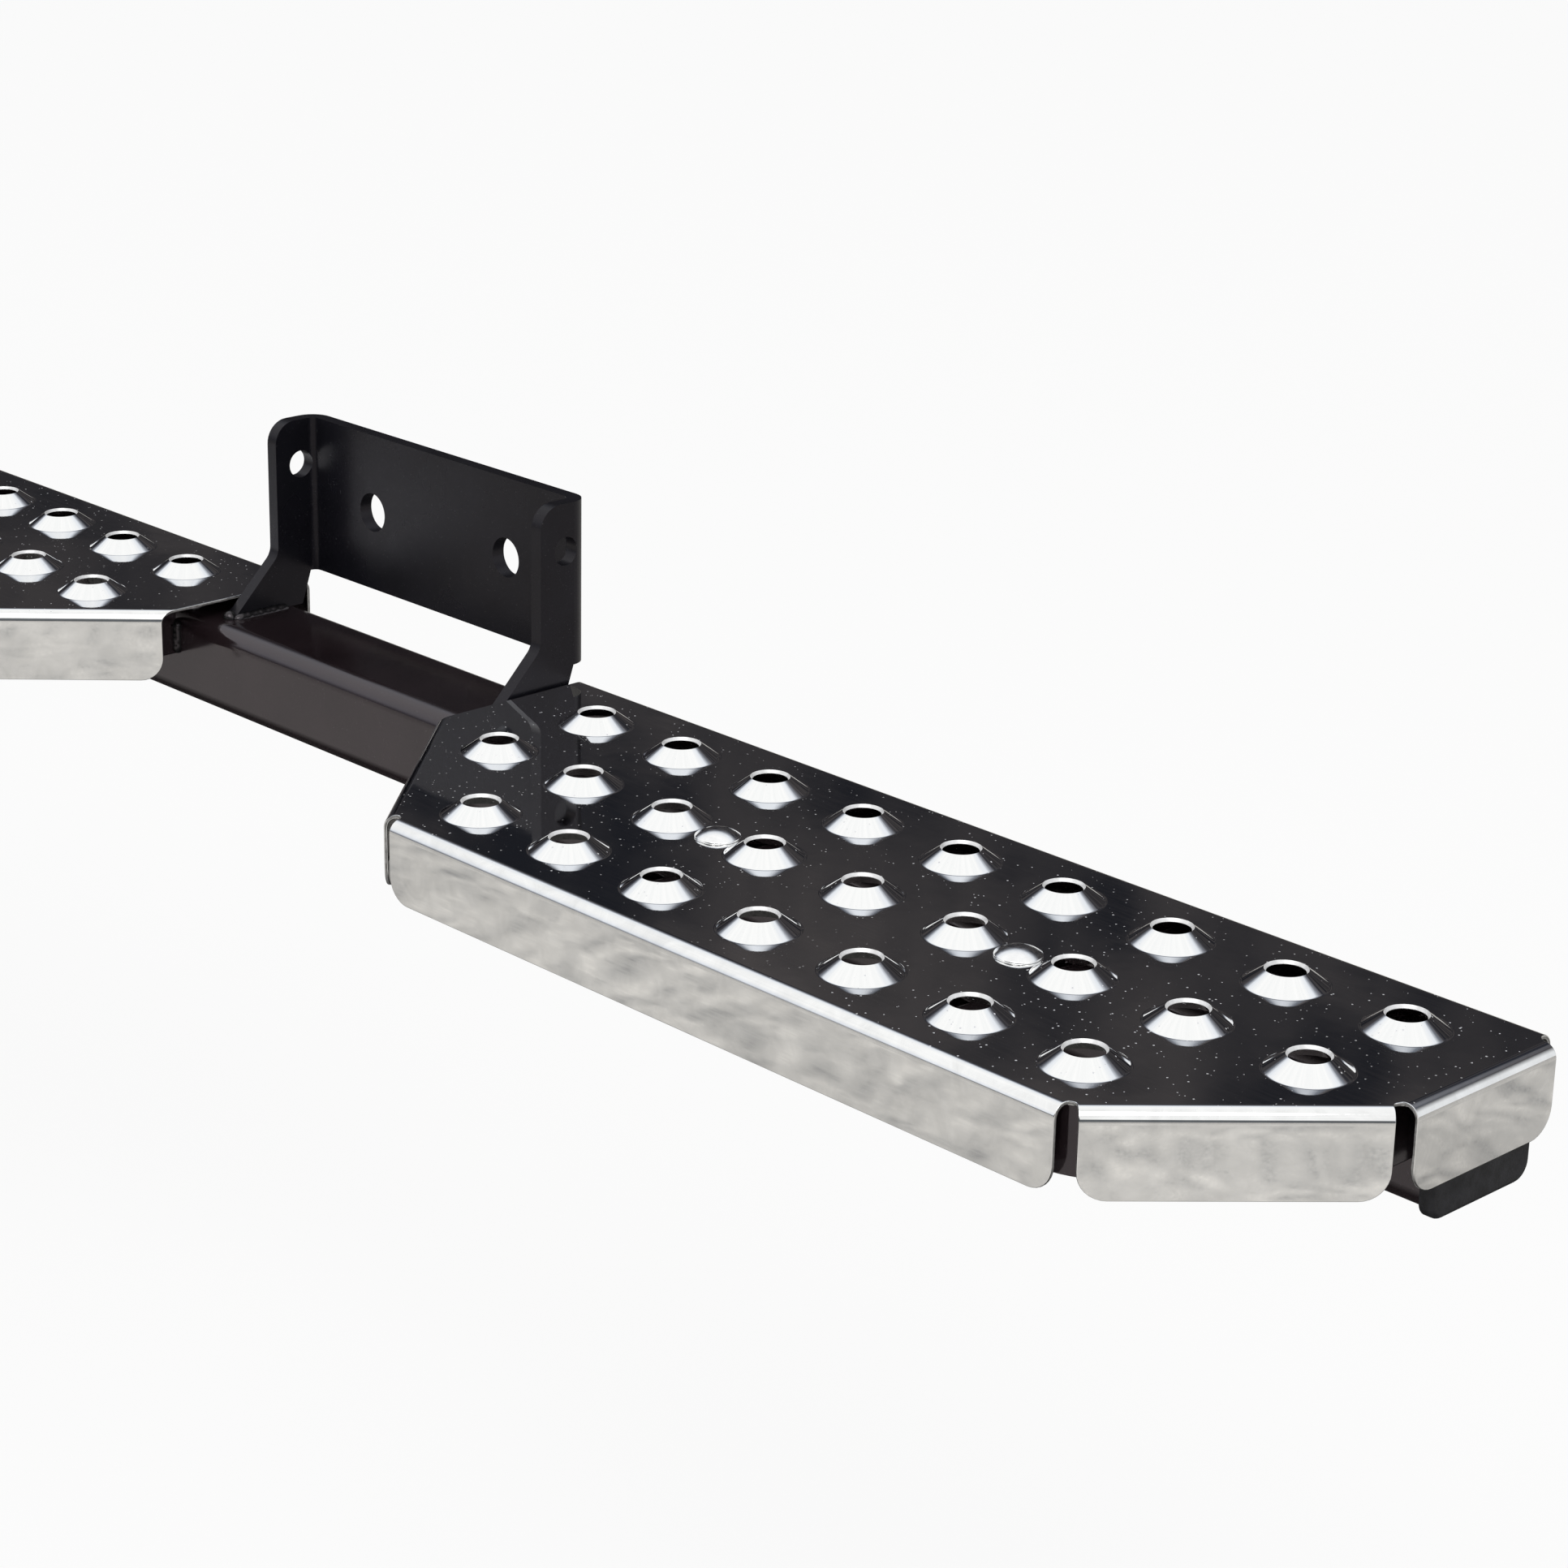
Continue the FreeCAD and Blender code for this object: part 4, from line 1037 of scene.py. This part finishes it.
glow = node(paint_tree, "ShaderNodeEmission", Color=(1, 1, 1, 1), Strength=1.0)
blend = node(paint_tree, "ShaderNodeMixShader")
paint_tree.links.new(reckon(paint_tree, "MULTIPLY", path.outputs["Is Camera Ray"], CAMERA_GLOW),
                     blend.inputs["Fac"])
paint_tree.links.new(paint.outputs["BSDF"], blend.inputs[1])
paint_tree.links.new(glow.outputs["Emission"], blend.inputs[2])
paint_tree.links.new(blend.outputs["Shader"], paint_tree.nodes["Material Output"].inputs["Surface"])
floor.data.materials.append(floor_paint)
print("floor at", FLOOR_Z)

# %% World
OPEN_SIDE = Vector((0.20, -0.98, 0))
BEYOND_END = (0.755, 0.655, 0)
LOW_FRONT = (0.34, -0.94, -0.90)
world = bpy.data.worlds.new("studio")
bpy.context.scene.world = world
world.use_nodes = True
sky = world.node_tree
sky.nodes.clear()
out = node(sky, "ShaderNodeOutputWorld")
direction = node(sky, "ShaderNodeTexCoord").outputs["Generated"]


def towards(aim):
    """How far a ray points along an aim."""
    made = node(sky, "ShaderNodeVectorMath", operation="DOT_PRODUCT")
    made.inputs[1].default_value = aim
    sky.links.new(direction, made.inputs[0])
    return made.outputs["Value"]


dome = ramp(sky, towards(OPEN_SIDE * 0.55 + Vector((0, 0, 1))), (
    (0.0, (0.011, 0.012, 0.016)), (0.20, (0.024, 0.026, 0.034)), (0.33, (0.20, 0.22, 0.26)),
    (0.46, (0.80, 0.84, 0.90)), (0.70, (0.99, 1.0, 1.0))))
streaks = ramp(sky, noise(sky, direction, 11, 5, 0.6), ((0.40, (0, 0, 0)), (0.64, (0.062, 0.054, 0.050))))
dome = mix(sky, 1.0, dome, streaks, "ADD")
dome = mix(sky, ramp(sky, towards(BEYOND_END), ((0.70, 0), (0.92, 1))), dome, (0.86, 0.88, 0.90))
leaves = ramp(sky, noise(sky, direction, 9, 5, 0.6),
              ((0.35, (0.060, 0.064, 0.070)), (0.65, (0.17, 0.18, 0.19))))
dome = mix(sky, ramp(sky, towards(LOW_FRONT), ((0.45, 0), (0.56, 1))), dome, leaves)
rays = node(sky, "ShaderNodeLightPath")
seen = mix(sky, rays.outputs["Is Glossy Ray"], (0.80, 0.80, 0.80), dome)
shown = mix(sky, rays.outputs["Is Camera Ray"], seen, (1, 1, 1))
background = node(sky, "ShaderNodeBackground", Strength=1.0)
sky.links.new(shown, background.inputs["Color"])
sky.links.new(background.outputs["Background"], out.inputs["Surface"])
print("open side", OPEN_SIDE[:])

# %% Lamp
LAMP_FROM, LAMP_AT = Vector((1.2, -1.4, 2.4)), Vector((0.2, -0.1, 0))
lamp_data = bpy.data.lights.new("softbox", "AREA")
lamp_data.shape = "DISK"
lamp_data.size = 2.2
lamp_data.energy = 30
lamp = bpy.data.objects.new("softbox", lamp_data)
bpy.context.scene.collection.objects.link(lamp)
lamp.location = LAMP_FROM
lamp.rotation_mode = "QUATERNION"
lamp.rotation_quaternion = (LAMP_FROM - LAMP_AT).to_track_quat("Z", "Y")
bpy.context.scene.view_settings.view_transform = "Standard"
print("stage ready")
